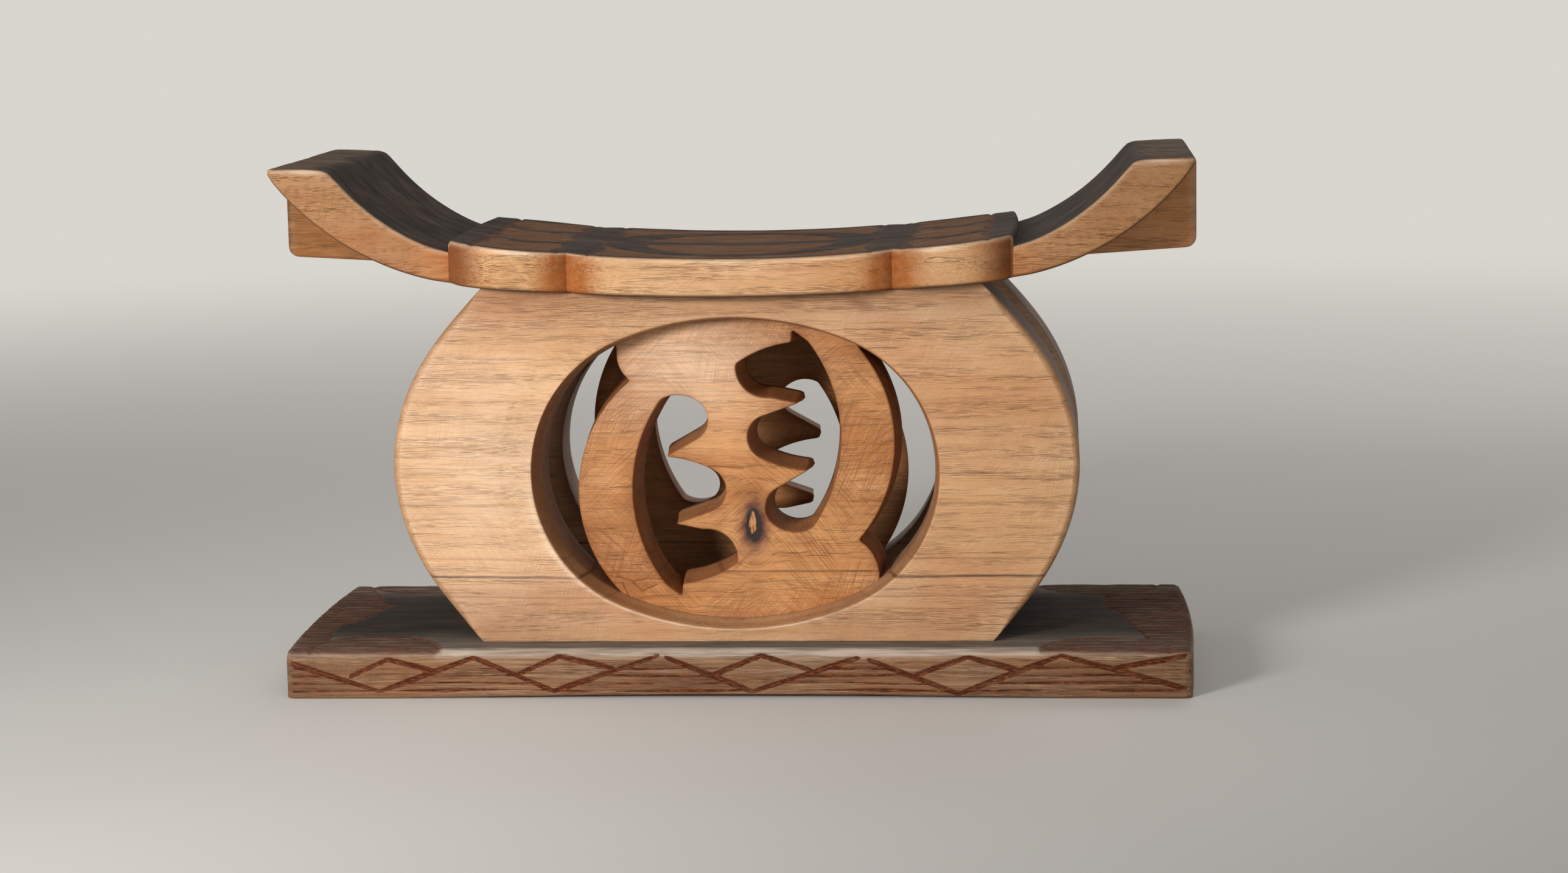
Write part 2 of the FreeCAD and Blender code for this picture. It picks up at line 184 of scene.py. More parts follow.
def woodMaterial(name, look):
    # Plain-sawn West African hardwood, grain along X, shaped with adze and knife, filed and varnished.
    # Gives the eye honey-coloured figure, short dark pore lines, file scratches across the grain,
    # red-brown knife cuts and painted shade in their colour, rubbed pale edges and painted highlights,
    # and grey, worn upper faces darkened further by painted shade.
    material = bpy.data.materials.new(name)
    material.use_nodes = True
    tree = material.node_tree
    tree.nodes.clear()

    def math2(operation, a, b=0.0, clamp=False):
        node = addNode(tree, "ShaderNodeMath", {"operation": operation, "use_clamp": clamp})
        for index, value in enumerate((a, b)):
            if isinstance(value, (int, float)):
                node.inputs[index].default_value = value
            else:
                tree.links.new(value, node.inputs[index])
        return node.outputs[0]

    def vector2(operation, a, b):
        node = addNode(tree, "ShaderNodeVectorMath", {"operation": operation})
        for index, value in enumerate((a, b)):
            if isinstance(value, tuple):
                node.inputs[index].default_value = value
            else:
                tree.links.new(value, node.inputs[index])
        return node.outputs["Value"] if operation in ("LENGTH", "DOT_PRODUCT") else node.outputs[0]

    def between(value, low, high, toLow=0.0, toHigh=1.0):
        settings = {"interpolation_type": "SMOOTHSTEP", "From Min": low, "From Max": high,
                    "To Min": toLow, "To Max": toHigh}
        return addNode(tree, "ShaderNodeMapRange", settings, {"Value": value}).outputs[0]

    def patches(place, sizes, detail=2.0, rough=0.5):
        # noise whose blotches are as long as sizes, in millimetres, along X, Y and Z
        stretched = vector2("MULTIPLY", place, tuple(1 / s for s in sizes))
        return addNode(tree, "ShaderNodeTexNoise", {"Scale": 1.0, "Detail": detail, "Roughness": rough},
                       {"Vector": stretched})

    def mixColour(share, base, other, blend="MIX"):
        node = addNode(tree, "ShaderNodeMix", {"data_type": "RGBA", "blend_type": blend})
        tree.links.new(share, node.inputs[0])
        for index, value in ((6, base), (7, other)):
            if isinstance(value, str):
                node.inputs[index].default_value = linear(value)
            else:
                tree.links.new(value, node.inputs[index])
        return node.outputs[2]

    def ramp(value, stops):
        node = addNode(tree, "ShaderNodeValToRGB", {}, {"Fac": value})
        bar = node.color_ramp.elements
        while len(bar) < len(stops):
            bar.new(0.5)
        for element, (place, colour) in zip(bar, stops):
            element.position = place
            element.color = linear(colour)
        return node.outputs["Color"]

    coords = addNode(tree, "ShaderNodeTexCoord", {})
    place = addNode(tree, "ShaderNodeMapping", {"Scale": (1000, 1000, 1000), "Location": look["shift"]},
                    {"Vector": coords.outputs["Object"]}).outputs[0]
    sheet = addNode(tree, "ShaderNodeMapping", {"Scale": (1000, 1000, 1000)},
                    {"Vector": coords.outputs["Object"]}).outputs[0]
    # marks: stain and painted shade, wear and painted light, dirt and painted shade; the fourth is nearness to a
    # knife cut
    given = addNode(tree, "ShaderNodeAttribute", {"attribute_name": "marks"})
    marks = addNode(tree, "ShaderNodeSeparateColor", {}, {"Color": given.outputs["Color"]})
    stainAndShade, wearAndPaintedLight, dirtAndShade = marks.outputs[0], marks.outputs[1], marks.outputs[2]
    # the fourth mark falls evenly with the distance, so the cut's edge stays crisp between the points;
    # fibres a millimetre wide make that edge ragged
    fibres = patches(sheet, (3.0, 1.2, 0.9), 2.0).outputs[0]
    ragged = math2("MULTIPLY", math2("SUBTRACT", fibres, 0.5), 0.22)
    stainAndShade = math2("MAXIMUM", stainAndShade, between(math2("ADD", given.outputs["Alpha"], ragged), 0.46, 0.60))

    # the grain wanders a few millimetres over a hand's length
    wander = vector2("SUBTRACT", patches(place, (210, 60, 60), 1.0).outputs["Color"], (0.5, 0.5, 0.5))
    grain = vector2("ADD", place, vector2("MULTIPLY", wander, (0, 0, look["wander"])))

    knotRadius = None
    if "knot" in look:
        # the grain parts round the knot: an upright bean of pale wood set off-centre in black bark
        knot = look["knot"]
        fray = vector2("SUBTRACT", patches(sheet, (4, 4, 4), 2.0).outputs["Color"], (0.5, 0.5, 0.5))
        fray = vector2("MULTIPLY", fray, (3.2, 0, 4))
        away = vector2("ADD", vector2("SUBTRACT", sheet, knot["centre"]), fray)

        def ovalRadius(shift, halfSizes):
            # 1 on an oval with these half-sizes, moved by shift from the knot's middle
            inShares = vector2("MULTIPLY", vector2("SUBTRACT", away, shift), tuple(1 / h for h in halfSizes))
            return vector2("LENGTH", inShares, (0, 0, 0))

        knotRadius = ovalRadius((0, 0, 0), knot["barkHalfSizes"])
        coreRadius = ovalRadius(knot["coreShift"], knot["coreHalfSizes"])
        parting = between(knotRadius, 0.6, 3.6, 1.0, 0.0)
        push = vector2("MULTIPLY", away, (0, 0, -0.75))
        scaled = addNode(tree, "ShaderNodeVectorMath", {"operation": "SCALE"}, {0: push, "Scale": parting})
        grain = vector2("ADD", grain, scaled.outputs[0])

    # figure: streaks a hand long and a centimetre wide, each made of ever shorter and finer ones
    figure = patches(grain, look["figureSizes"], 7.0, look["figureRoughness"]).outputs[0]
    tone = patches(place, (110, 50, 50), 2.0).outputs[0]
    streaked = math2("ADD", math2("MULTIPLY", figure, 0.75), math2("MULTIPLY", tone, 0.25))
    colour = ramp(streaked, look["figure"])
    # redder heartwood in blotches a few centimetres wide
    blush = between(patches(vector2("ADD", place, (311, 0, 97)), (75, 40, 38), 3.0).outputs[0], 0.46, 0.66)
    colour = mixColour(math2("MULTIPLY", blush, look["blush"]), colour, look["blushColour"])

    # fibre: fine even lines, and half-millimetre specks left by sandpaper; pores: dark dashes 3 to 15 mm
    # long, crowded in some layers and few in others; both are drawn a little coarser than they are, to show
    fibre = patches(grain, (26, 0.3, 0.3), 3.0, 0.6).outputs[0]
    colour = mixColour(between(fibre, 0.33, 0.62, look["fibre"], 0.0), colour, look["fibreColour"])
    sanded = patches(sheet, (0.55, 0.4, 0.4), 2.0).outputs[0]
    colour = mixColour(between(sanded, 0.36, 0.6, look["sanded"], 0.0), colour, look["fibreColour"])
    crowding = between(patches(place, (70, 9, 3.5), 3.0).outputs[0], 0.40, 0.64, 0.22, 1.0)
    coarse = between(patches(grain, (14, 0.7, 0.20), 1.0).outputs[0], 0.615, 0.655)
    fine = between(patches(vector2("ADD", grain, (41, 7, 3)), (9, 0.5, 0.13), 0.0).outputs[0], 0.635, 0.69)
    pore = math2("MULTIPLY", math2("MAXIMUM", coarse, math2("MULTIPLY", fine, 0.75)), crowding)
    colour = mixColour(math2("MULTIPLY", pore, look["pore"]), colour, look["poreColour"])
    longLine = between(patches(grain, (130, 0.42, 0.42), 2.0).outputs[0], 0.64, 0.68)
    colour = mixColour(math2("MULTIPLY", longLine, look["longLine"]), colour, look["poreColour"])
    if "bud" in look:
        # two pale brown buds side by side, soft at their edges
        for bud in look["bud"]:
            inShares = vector2("MULTIPLY", vector2("SUBTRACT", grain, bud), (1 / 4.5, 1 / 25, 1 / 3.6))
            near = vector2("LENGTH", inShares, (0, 0, 0))
            colour = mixColour(between(near, 0.3, 1.6, 0.55, 0.0), colour, "#8a5a38")

    # growth lines that cross a whole face, at their heights above the floor
    waved = vector2("ADD", sheet, vector2("MULTIPLY", wander, (0, 0, 5)))
    lifted = addNode(tree, "ShaderNodeSeparateXYZ", {}, {"Vector": waved}).outputs[2]
    streaks = None
    for height, width, strength in look.get("growthLines", ()):
        offset = math2("ABSOLUTE", math2("SUBTRACT", lifted, height))
        line = between(offset, width * 0.3, width, strength, 0.0)
        streaks = line if streaks is None else math2("MAXIMUM", streaks, line)
    if streaks is not None:
        broken = between(patches(place, (35, 8, 2), 2.0).outputs[0], 0.3, 0.55, 0.45, 1.0)
        colour = mixColour(math2("MULTIPLY", streaks, broken), colour, "#4a2c19")

    # file and sandpaper scratches: long hair lines that cross the grain, mostly in two directions
    scratches = None
    for turn, width in ((0.72, 0.12), (-0.82, 0.12), (1.25, 0.18)):
        turned = addNode(tree, "ShaderNodeVectorRotate", {"rotation_type": "Y_AXIS", "Angle": turn},
                         {"Vector": sheet}).outputs[0]
        sway = patches(sheet, (55, 55, 55), 1.0).outputs["Color"]
        bent = vector2("ADD", turned, vector2("MULTIPLY", sway, (0, 0, 14)))
        line = between(patches(bent, (18, 12, width), 0.0).outputs[0], 0.54, 0.68)
        elsewhere = vector2("ADD", place, (turn * 300, 0, 0))
        worked = between(patches(elsewhere, (46, 30, 40), 2.0).outputs[0], 0.42, 0.60)
        line = math2("MULTIPLY", line, worked)
        scratches = line if scratches is None else math2("MAXIMUM", scratches, line)
    scratches = math2("MULTIPLY", scratches, look["scratches"])
    colour = mixColour(scratches, colour, look["scratchColour"])

    if knotRadius is not None:
        # stained wood round the bark, the black bark, and the pale core with its crack
        smudge = between(patches(sheet, (8, 8, 6), 3.0).outputs[0], 0.35, 0.6, 0.6, 1.0)
        halo = math2("MULTIPLY", between(knotRadius, 0.95, 2.7, 0.95, 0.0), smudge)
        colour = mixColour(halo, colour, "#6b3820")
        near = between(knotRadius, 0.95, 1.7, 0.75, 0.0)
        colour = mixColour(near, colour, "#42221a")
        colour = mixColour(between(knotRadius, 0.88, 1.10, 1.0, 0.0), colour, "#160b08")
        crack = between(patches(sheet, (1.1, 4, 4.5), 1.0).outputs[0], 0.54, 0.66)
        core = mixColour(crack, "#b57d4c", "#6e4226")
        colour = mixColour(between(coreRadius, 0.80, 1.05, 1.0, 0.0), colour, core)

    # upper faces grey and worn: the same grain under years of dirt and polish, darkened further as painted shade
    # where a top turns from the light; the seat's painted shade and painted shadow line take this colour too
    dimGrain = math2("ADD", math2("MULTIPLY", figure, 0.6), math2("MULTIPLY", fibre, 0.4))
    dirtAndShadeColour = ramp(dimGrain, look["dirtAndShade"])
    patchy = between(patches(place, (30, 14, 14), 3.0).outputs[0], 0.25, 0.6, 0.92, 1.0)
    colour = mixColour(math2("MULTIPLY", dirtAndShade, patchy), colour, dirtAndShadeColour)
    # pale: rubbed wear and painted highlights, from the second mark
    edgeNoise = between(patches(sheet, (30, 2.5, 1.2), 2.0).outputs[0], 0.35, 0.6, 0.55, 1.0)
    paleWearAndHighlight = math2("MULTIPLY", math2("MULTIPLY", wearAndPaintedLight, edgeNoise), 0.75)
    colour = mixColour(paleWearAndHighlight, colour, look["wearAndHighlightColour"])
    # knife stains and the painted shade in the first mark, broken up a little
    stain = math2("MULTIPLY", stainAndShade, between(patches(sheet, (9, 3, 3), 2.0).outputs[0], 0.3, 0.6, 0.8, 1.0))
    # a cut is dark where the blade went deepest and rusty where it tore; the painted shade carried by the same
    # mark takes this colour too
    torn = between(patches(sheet, (5, 1.0, 0.6), 3.0, 0.7).outputs[0], 0.46, 0.64)
    stainAndShadeTone = mixColour(torn, look["stainAndShadeColour"], look.get("tornColour", look["stainAndShadeColour"]))
    colour = mixColour(stain, colour, stainAndShadeTone)

    # hollows of a tenth of a millimetre and less
    relief = math2("ADD", math2("MULTIPLY", fibre, 0.05), math2("MULTIPLY", sanded, 0.06))
    relief = math2("SUBTRACT", relief, math2("MULTIPLY", pore, 0.10))
    relief = math2("SUBTRACT", relief, math2("MULTIPLY", scratches, 0.05))
    dents = patches(sheet, (16, 9, 9), 2.0).outputs[0]
    relief = math2("ADD", relief, math2("MULTIPLY", dents, look["toolMarks"]))
    chatter = math2("MULTIPLY", stainAndShade, patches(sheet, (3.5, 0.9, 0.9), 2.0).outputs[0])
    relief = math2("ADD", relief, math2("MULTIPLY", chatter, 0.35))
    bump = addNode(tree, "ShaderNodeBump", {"Strength": 1.0, "Distance": millimetre}, {"Height": relief})
    polish = between(patches(place, (22, 9, 9), 3.0).outputs[0], 0.3, 0.7, *look["roughness"])
    dulled = math2("MULTIPLY", math2("MAXIMUM", stainAndShade, dirtAndShade), look["dull"])
    gloss = math2("ADD", polish, dulled, clamp=True)
    shader = addNode(tree, "ShaderNodeBsdfPrincipled",
                     {"IOR": 1.5, "Specular IOR Level": look["specular"],
                      "Coat Weight": look["coat"], "Coat Roughness": 0.5, "Coat IOR": 1.5},
                     {"Base Color": colour, "Roughness": gloss, "Normal": bump.outputs[0]})
    addNode(tree, "ShaderNodeOutputMaterial", {}, {"Surface": shader.outputs[0]})
    return material


# what changes from piece to piece; sizes in millimetres, strengths as shares
paleWood = {
    "shift": (0, 0, 0),         # another place in the same tree
    "wander": 6.0,
    "figureSizes": (190, 11, 9),
    "figureRoughness": 0.58,
    "figure": ((0.26, "#bc8a58"), (0.42, "#ca9b69"), (0.55, "#d3a677"), (0.72, "#dcb489")),
    "blush": 0.45,
    "blushColour": "#c07f4c",
    "fibre": 0.24,
    "fibreColour": "#a5734a",
    "sanded": 0.22,
    "pore": 0.78,
    "poreColour": "#5c371f",
    "longLine": 0.5,
    "scratches": 0.4,
    "scratchColour": "#9c663a",
    # upper faces: dirt and painted shade; pale: wear and painted highlights; cuts: stains and painted shade
    "dirtAndShade": ((0.3, "#43342a"), (0.5, "#5e4a3a"), (0.7, "#7a634d")),
    "wearAndHighlightColour": "#f0d8bd",
    "stainAndShadeColour": "#6f3d1d",
    "toolMarks": 0.25,
    "roughness": (0.40, 0.55),
    "dull": 0.4,                # how much rougher cuts and worn faces are
    "specular": 0.4,
    "coat": 0.35,               # thin varnish, worn off where hands and feet go
}
panelLook = dict(
    paleWood,
    bud=((60.1, -60.4, 192.3), (65.1, -60.4, 189.9)),
    # height above the floor, half-width and strength
    growthLines=((57.6, 1.0, 0.95), (47.5, 0.6, 0.35), (66.5, 0.7, 0.3), (93, 0.8, 0.3)))
symbolLook = dict(
    paleWood, coat=0.12, specular=0.3, blush=0.75, scratches=0.85,
    blushColour="#b8702f", stainAndShadeColour="#7a3d16", scratchColour="#8a5228",
    figure=((0.26, "#ae6f3a"), (0.42, "#c1844c"), (0.55, "#cf945a"), (0.72, "#dda872")),
    growthLines=((57.6, 0.8, 0.6), (52.0, 0.6, 0.4)),
    knot={"centre": (8.0, -53.0, 80.6), "barkHalfSizes": (4.1, 16.0, 8.8),
          "coreShift": (-0.7, 0.0, 0.9), "coreHalfSizes": (1.8, 16.0, 5.4)})
seatLook = dict(
    paleWood, shift=(130, 40, 210), pore=0.95, stainAndShadeColour="#92490f", coat=0.0, specular=0.22,
    # the seat's top is painted very dark: dirt and painted shade
    dirtAndShade=((0.3, "#170f0c"), (0.5, "#261a15"), (0.7, "#382822")))
blockLook = dict(
    paleWood, shift=(420, 10, 60), blush=0.5, stainAndShadeColour="#63401f", coat=0.0, specular=0.25,
    figure=((0.26, "#b56832"), (0.42, "#c67a40"), (0.55, "#d38c4f"), (0.72, "#dc9e62")))
plankLook = dict(
    paleWood, shift=(-260, 70, 130), pore=0.95, longLine=0.9, blush=0.2, fibre=0.75,
    figureSizes=(140, 7, 2.6), figureRoughness=0.7, fibreColour="#4d3220", poreColour="#3d2417",
    figure=((0.30, "#4e3422"), (0.43, "#775940"), (0.54, "#95765a"), (0.66, "#b89b7d")),
    dirtAndShade=((0.3, "#1a1410"), (0.5, "#2a211b"), (0.7, "#40352b")),
    wearAndHighlightColour="#c6b5a3", stainAndShadeColour="#47200f", tornColour="#7c4324",
    roughness=(0.50, 0.70), specular=0.22, coat=0.0)
pegLook = dict(paleWood, shift=(77, 300, -90), scratches=0.0, toolMarks=0.05, coat=0.0)

panelWood = woodMaterial("osese_wood_filed_and_varnished", panelLook)
symbolWood = woodMaterial("osese_wood_symbol_filed", symbolLook)
seatWood = woodMaterial("osese_wood_seat_polished_by_use", seatLook)
blockWood = woodMaterial("osese_wood_blocks_sawn", blockLook)
plankWood = woodMaterial("osese_wood_plank_weathered", plankLook)
pegWood = woodMaterial("turned_hardwood_dowel", pegLook)
print("materials made")


# boards: a rounded section in Y and Z carried along X

def sectionRows(front, top, bottom, corner):
    # one turn round a unit section, from the bottom front corner up, over, down and back:
    # share of the half-depth, share of the height, the rounding's direction, and which radius
    def arc(fromTurn):
        turn = np.radians(fromTurn - 90 * np.arange(corner + 1) / corner)
        return np.cos(turn), np.sin(turn)

    def evenly(count):
        return (np.arange(count) + 1) / (count + 1)

    blocks = []
    cosine, sine = arc(270)
    blocks.append((-np.ones(corner + 1), np.zeros(corner + 1), cosine, sine))
    blocks.append((-np.ones(front), evenly(front), -np.ones(front), np.zeros(front)))
    cosine, sine = arc(180)
    blocks.append((-np.ones(corner + 1), np.ones(corner + 1), cosine, sine))
    blocks.append((2 * evenly(top) - 1, np.ones(top), np.zeros(top), np.ones(top)))
    cosine, sine = arc(90)
    blocks.append((np.ones(corner + 1), np.ones(corner + 1), cosine, sine))
    blocks.append((np.ones(front), 1 - evenly(front), np.ones(front), np.zeros(front)))
    cosine, sine = arc(0)
    blocks.append((np.ones(corner + 1), np.zeros(corner + 1), cosine, sine))
    blocks.append((1 - 2 * evenly(bottom), np.zeros(bottom), np.zeros(bottom), -np.ones(bottom)))
    return [np.concatenate(part) for part in zip(*blocks)]


def quarterFall(past, radius):
    # how far a quarter circle has fallen from its start: the radius less the root of its square
    # less the square of the way past that start
    way = np.clip(past, 0, radius)
    return radius - np.sqrt(radius ** 2 - way ** 2)


def carriedBoard(xs, halfDepth, low, high, topRadius, footRadius, rows):
    # y = share * (half-depth - radius) + direction * radius, and z the same between low and high
    acrossShare, upShare, outY, outZ = rows
    thick = high - low
    top = np.minimum(topRadius, thick * 0.42)[:, None]
    foot = np.minimum(footRadius, thick * 0.42)[:, None]
    radius = foot + (top - foot) * upShare
    y = acrossShare * (halfDepth[:, None] - radius) + outY * radius
    z = low[:, None] + foot + upShare * (thick[:, None] - top - foot) + outZ * radius
    x = np.broadcast_to(xs[:, None], y.shape)
    return np.stack([x, y, z], -1)


def closeBoard(grid, spacing):
    # the grid's quads and a triangulated cap at each end, with inner points so that it shades flat
    count, around = grid.shape[:2]
    points = [grid.reshape(-1, 3)]
    faces = [quadRows(count, around, wrapColumns=True)]
    triangles = []
    total = count * around
    for first in (0, (count - 1) * around):
        ring = points[0][first:first + around]
        flat = ring[:, 1:]
        low, high = flat.min(0), flat.max(0)
        gy, gz = np.meshgrid(np.arange(low[0], high[0], spacing), np.arange(low[1], high[1], spacing))
        inner = np.column_stack([gy.ravel(), gz.ravel()])
        inner = inner[insideOutline(inner, flat)]
        fromRim = distanceToEdges(inner, flat, np.roll(flat, -1, 0))
        inner = inner[fromRim > spacing * 0.45]
        found, crossings = triangulate([flat], inner)
        inner = np.concatenate([inner, crossings.reshape(-1, 2)])
        order = np.argsort(flat[:, 0])
        capX = np.interp(inner[:, 0], flat[order, 0], ring[order, 0])     # the cap swells as its rim does
        points.append(np.column_stack([capX, inner]))
        found = np.where(found < around, found + first, found - around + total)
        if first:
            found = found[:, ::-1]
        triangles.append(found)
        total += len(inner)
    return np.concatenate(points), faces + [np.concatenate(triangles)]


plank = {
    "columnStep": 1.25,
    "rows": (30, 168, 6, 5),    # up a long face, across the top, under the foot, round a corner
    "capStep": 3.0,
    "endSwell": 3.0,
    "cornerRadius": 4.0,        # of the upright corners, seen from above
    "topRounding": 4.5,
    "footRounding": 1.4,
    "underHollow": 2.0,         # the underside clears the floor by this much in the middle
    "wander": 0.35,
    "ribPitch": 7.2,
    "ribDepth": 1.25,
    "ribWander": 1.3,
    "ribStagger": 2.8,          # how unlike in length neighbouring ribs are
    "cutWidth": 1.45,           # half the width of a knife cut
    "cutDepth": 1.4,
    # places along the long face and heights on it, seen from the front
    "zigzag": ((-228, 20.5), (-175.5, 3.7), (-128.3, 20.7), (-89, 3.9), (-36.4, 21.8), (8.6, 3.6),
               (61.8, 20.8), (109.2, 2.4), (158.8, 21.4), (219.3, 5.0), (228, 8.0)),
    "peakGaps": (0, 0, 0, 0, 3.0, 0, 4.2, 0, 0, 0, 0),
    "roofs": (((-189.8, 11.3), (-171.0, 19.9), (-147.9, 13.7)),
              ((-106.6, 12.4), (-86.2, 21.3), (-59.6, 15.5)),
              ((-12.4, 11.2), (13.1, 21.6), (36.8, 14.5)),
              ((87.8, 11.6), (113.8, 20.7), (138.5, 14.1)),
              ((185.7, 15.3), (220.8, 21.5), (229, 20.0))),
    "hatchHeights": (15.2, 11.6, 7.8, 4.2),     # level cuts that fill the ground under each peak
    "hatchWidth": 1.15,
    "hatchDepth": 0.8,
    "hatchWander": 0.7,
    # where the ribbed ends stop, as places across and along the plank
    "leftEdge": ((-90, -207), (-49, -204), (-26, -202), (-20, -196), (-8, -193), (27, -191), (34, -198),
                 (53, -199), (67, -204), (90, -206)),
    "rightEdge": ((-90, 209), (-70, 204), (-52, 198), (-33, 191), (-14, 187), (1, 188), (25, 182), (48, 183),
                  (52, 197), (90, 201)),
    "archCentres": (-180, 178),
    "archHalfWidths": (31, 32),
    "archHeights": (27, 34),
    "archGroove": 1.8,
    "stabHalfWidth": 1.7,
    "lineDepth": 0.9,
    "stabs": (((-229, -37), (-222, -33), (-212, 1), (-213, 27), (-200, 45)),
              ((228, -52), (216, -40), (207, -12), (212, 14), (203, 26), (221, 48))),
}


def bandCut(x, z):
    # how deep the knife goes into a long face, how stained the place is, and how near it is to a cut:
    # 1 on a cut's middle line, falling evenly with the distance. A cut is a V: its depth is full on the
    # middle line and nothing at its half-width, which thins towards both ends of the stroke.
    pts = np.column_stack([x.ravel(), z.ravel()])
    zig = np.array(plank["zigzag"], float)
    starts, ends = [], []
    for k in range(len(zig) - 1):
        run = (zig[k + 1] - zig[k]) / np.hypot(*(zig[k + 1] - zig[k]))
        starts.append(zig[k] + run * plank["peakGaps"][k])
        ends.append(zig[k + 1] - run * plank["peakGaps"][k + 1] * 0.4)     # strokes miss at some peaks
    for roof in plank["roofs"]:
        a, b, c = np.array(roof, float)
        starts += [a, b]
        ends += [b, c]
    wide = plank["cutWidth"] * (1 + 0.22 * unevenness(pts[:, 0] / 9, pts[:, 1] / 30, 5))
    across = np.full(len(pts), 9.0)
    for a, b in zip(starts, ends):
        run = b - a
        t = np.clip(((pts - a) @ run) / (run @ run), 0, 1)
        away = np.hypot(*(pts - a - t[:, None] * run).T)
        across = np.minimum(across, away / (wide * (0.72 + 0.28 * (1 - np.abs(2 * t - 1) ** 7))))
    deep = np.clip(1 - across, 0, 1)
    hatch, streak = np.zeros(len(pts)), np.zeros(len(pts))
    floor = np.interp(pts[:, 0], zig[:, 0], zig[:, 1])
    under = smooth(floor - pts[:, 1], 0.2, 1.4)
    for k, height in enumerate(plank["hatchHeights"]):
        level = height + plank["hatchWander"] * unevenness(pts[:, 0] / 22, pts[:, 1] * 0 + k * 3.1, 11 + k)
        strength = np.clip(0.55 + 0.6 * unevenness(pts[:, 0] / 17, pts[:, 1] * 0 + k, 31 + k), 0.1, 1)
        away = np.abs(pts[:, 1] - level)
        hatch = np.maximum(hatch, strength * np.clip(1 - away / plank["hatchWidth"], 0, 1))
        streak = np.maximum(streak, 1 - away / (plank["hatchWidth"] * 1.5 * strength))
    hatch *= under
    depth = np.maximum(deep * plank["cutDepth"], hatch * plank["hatchDepth"])
    stain = np.maximum(0.6 * smooth(hatch, 0.02, 0.6), 0.26 * under)
    near = np.clip(np.maximum(1 - across * 0.5, streak * under), 0, 1)
    return depth.reshape(x.shape), stain.reshape(x.shape), near.reshape(x.shape)


def gouged(y, pitch):
    # cross-section of side-by-side gouge cuts: parabolic valleys that meet in sharp ridges,
    # 1 in the middle of each valley and 0 on the ridges
    across = np.mod(y / pitch, 1)
    return 1 - (2 * across - 1) ** 2


def plankTopCut(x, y):
    # ribbed ends, ribbed arches along both long edges, and the knife lines round them. An arch is half an
    # oval: its radius is 1 where the squares of the shares along and in from the edge add up to 1.
    # Gives the ribs' depth, the share that is ribbed, the lines, and how deep in a valley a place is.
    left, right = np.array(plank["leftEdge"], float), np.array(plank["rightEdge"], float)
    wavering = y + plank["ribWander"] * unevenness(x / 45, y / 60, 8)
    rib = np.floor(wavering / plank["ribPitch"])
    ragged = plank["ribStagger"] * np.sin(rib * 12.9898)      # another length for each rib
    inLeft = smooth(np.interp(y, left[:, 0], left[:, 1]) + ragged - x, -0.5, 2.5)
    inRight = smooth(x - np.interp(y, right[:, 0], right[:, 1]) + ragged, -0.5, 2.5)
    ribbed = np.maximum(inLeft, inRight)
    line = np.zeros(x.shape)
    for side in (-1, 1):            # the rear edge carries the same arches, turned half round
        for centre, half, tall in zip(plank["archCentres"], plank["archHalfWidths"], plank["archHeights"]):
            across = (x * -side - centre) / half
            inward = (plankHigh[1] + y * side) / tall
            radius = np.sqrt(across ** 2 + np.clip(inward, 0, None) ** 2)
            ribbed = np.maximum(ribbed, smooth(1 - radius, 0.0, 0.09))
            line = np.maximum(line, np.clip(1 - np.abs(radius - 1) * half / plank["archGroove"], 0, 1))
    pts = np.column_stack([x.ravel(), y.ravel()])
    for side, stab in ((1, plank["stabs"][0]), (1, plank["stabs"][1]), (-1, plank["stabs"][0])):
        way = np.array(stab, float) * side
        away = distanceToEdges(pts, way[:-1], way[1:]).reshape(x.shape)
        strike = 0.6 + 0.4 * np.sin(y / 7)
        line = np.maximum(line, np.clip(1 - away / plank["stabHalfWidth"], 0, 1) * strike)
    # the gouge stops with a stab, so the patch ends in a step with a dark foot
    line = np.maximum(line, 0.8 * smooth(ribbed, 0.02, 0.3) * smooth(1 - ribbed, 0.02, 0.3))
    depth = plank["ribDepth"] * (0.8 + 0.2 * np.sin(x / 9 + rib * 3.3))
    hollow = gouged(wavering + 0.35 * np.sin(x / 5.3 + rib * 2.1), plank["ribPitch"])
    return ribbed * depth * hollow, ribbed, line * 0.9, ribbed * hollow


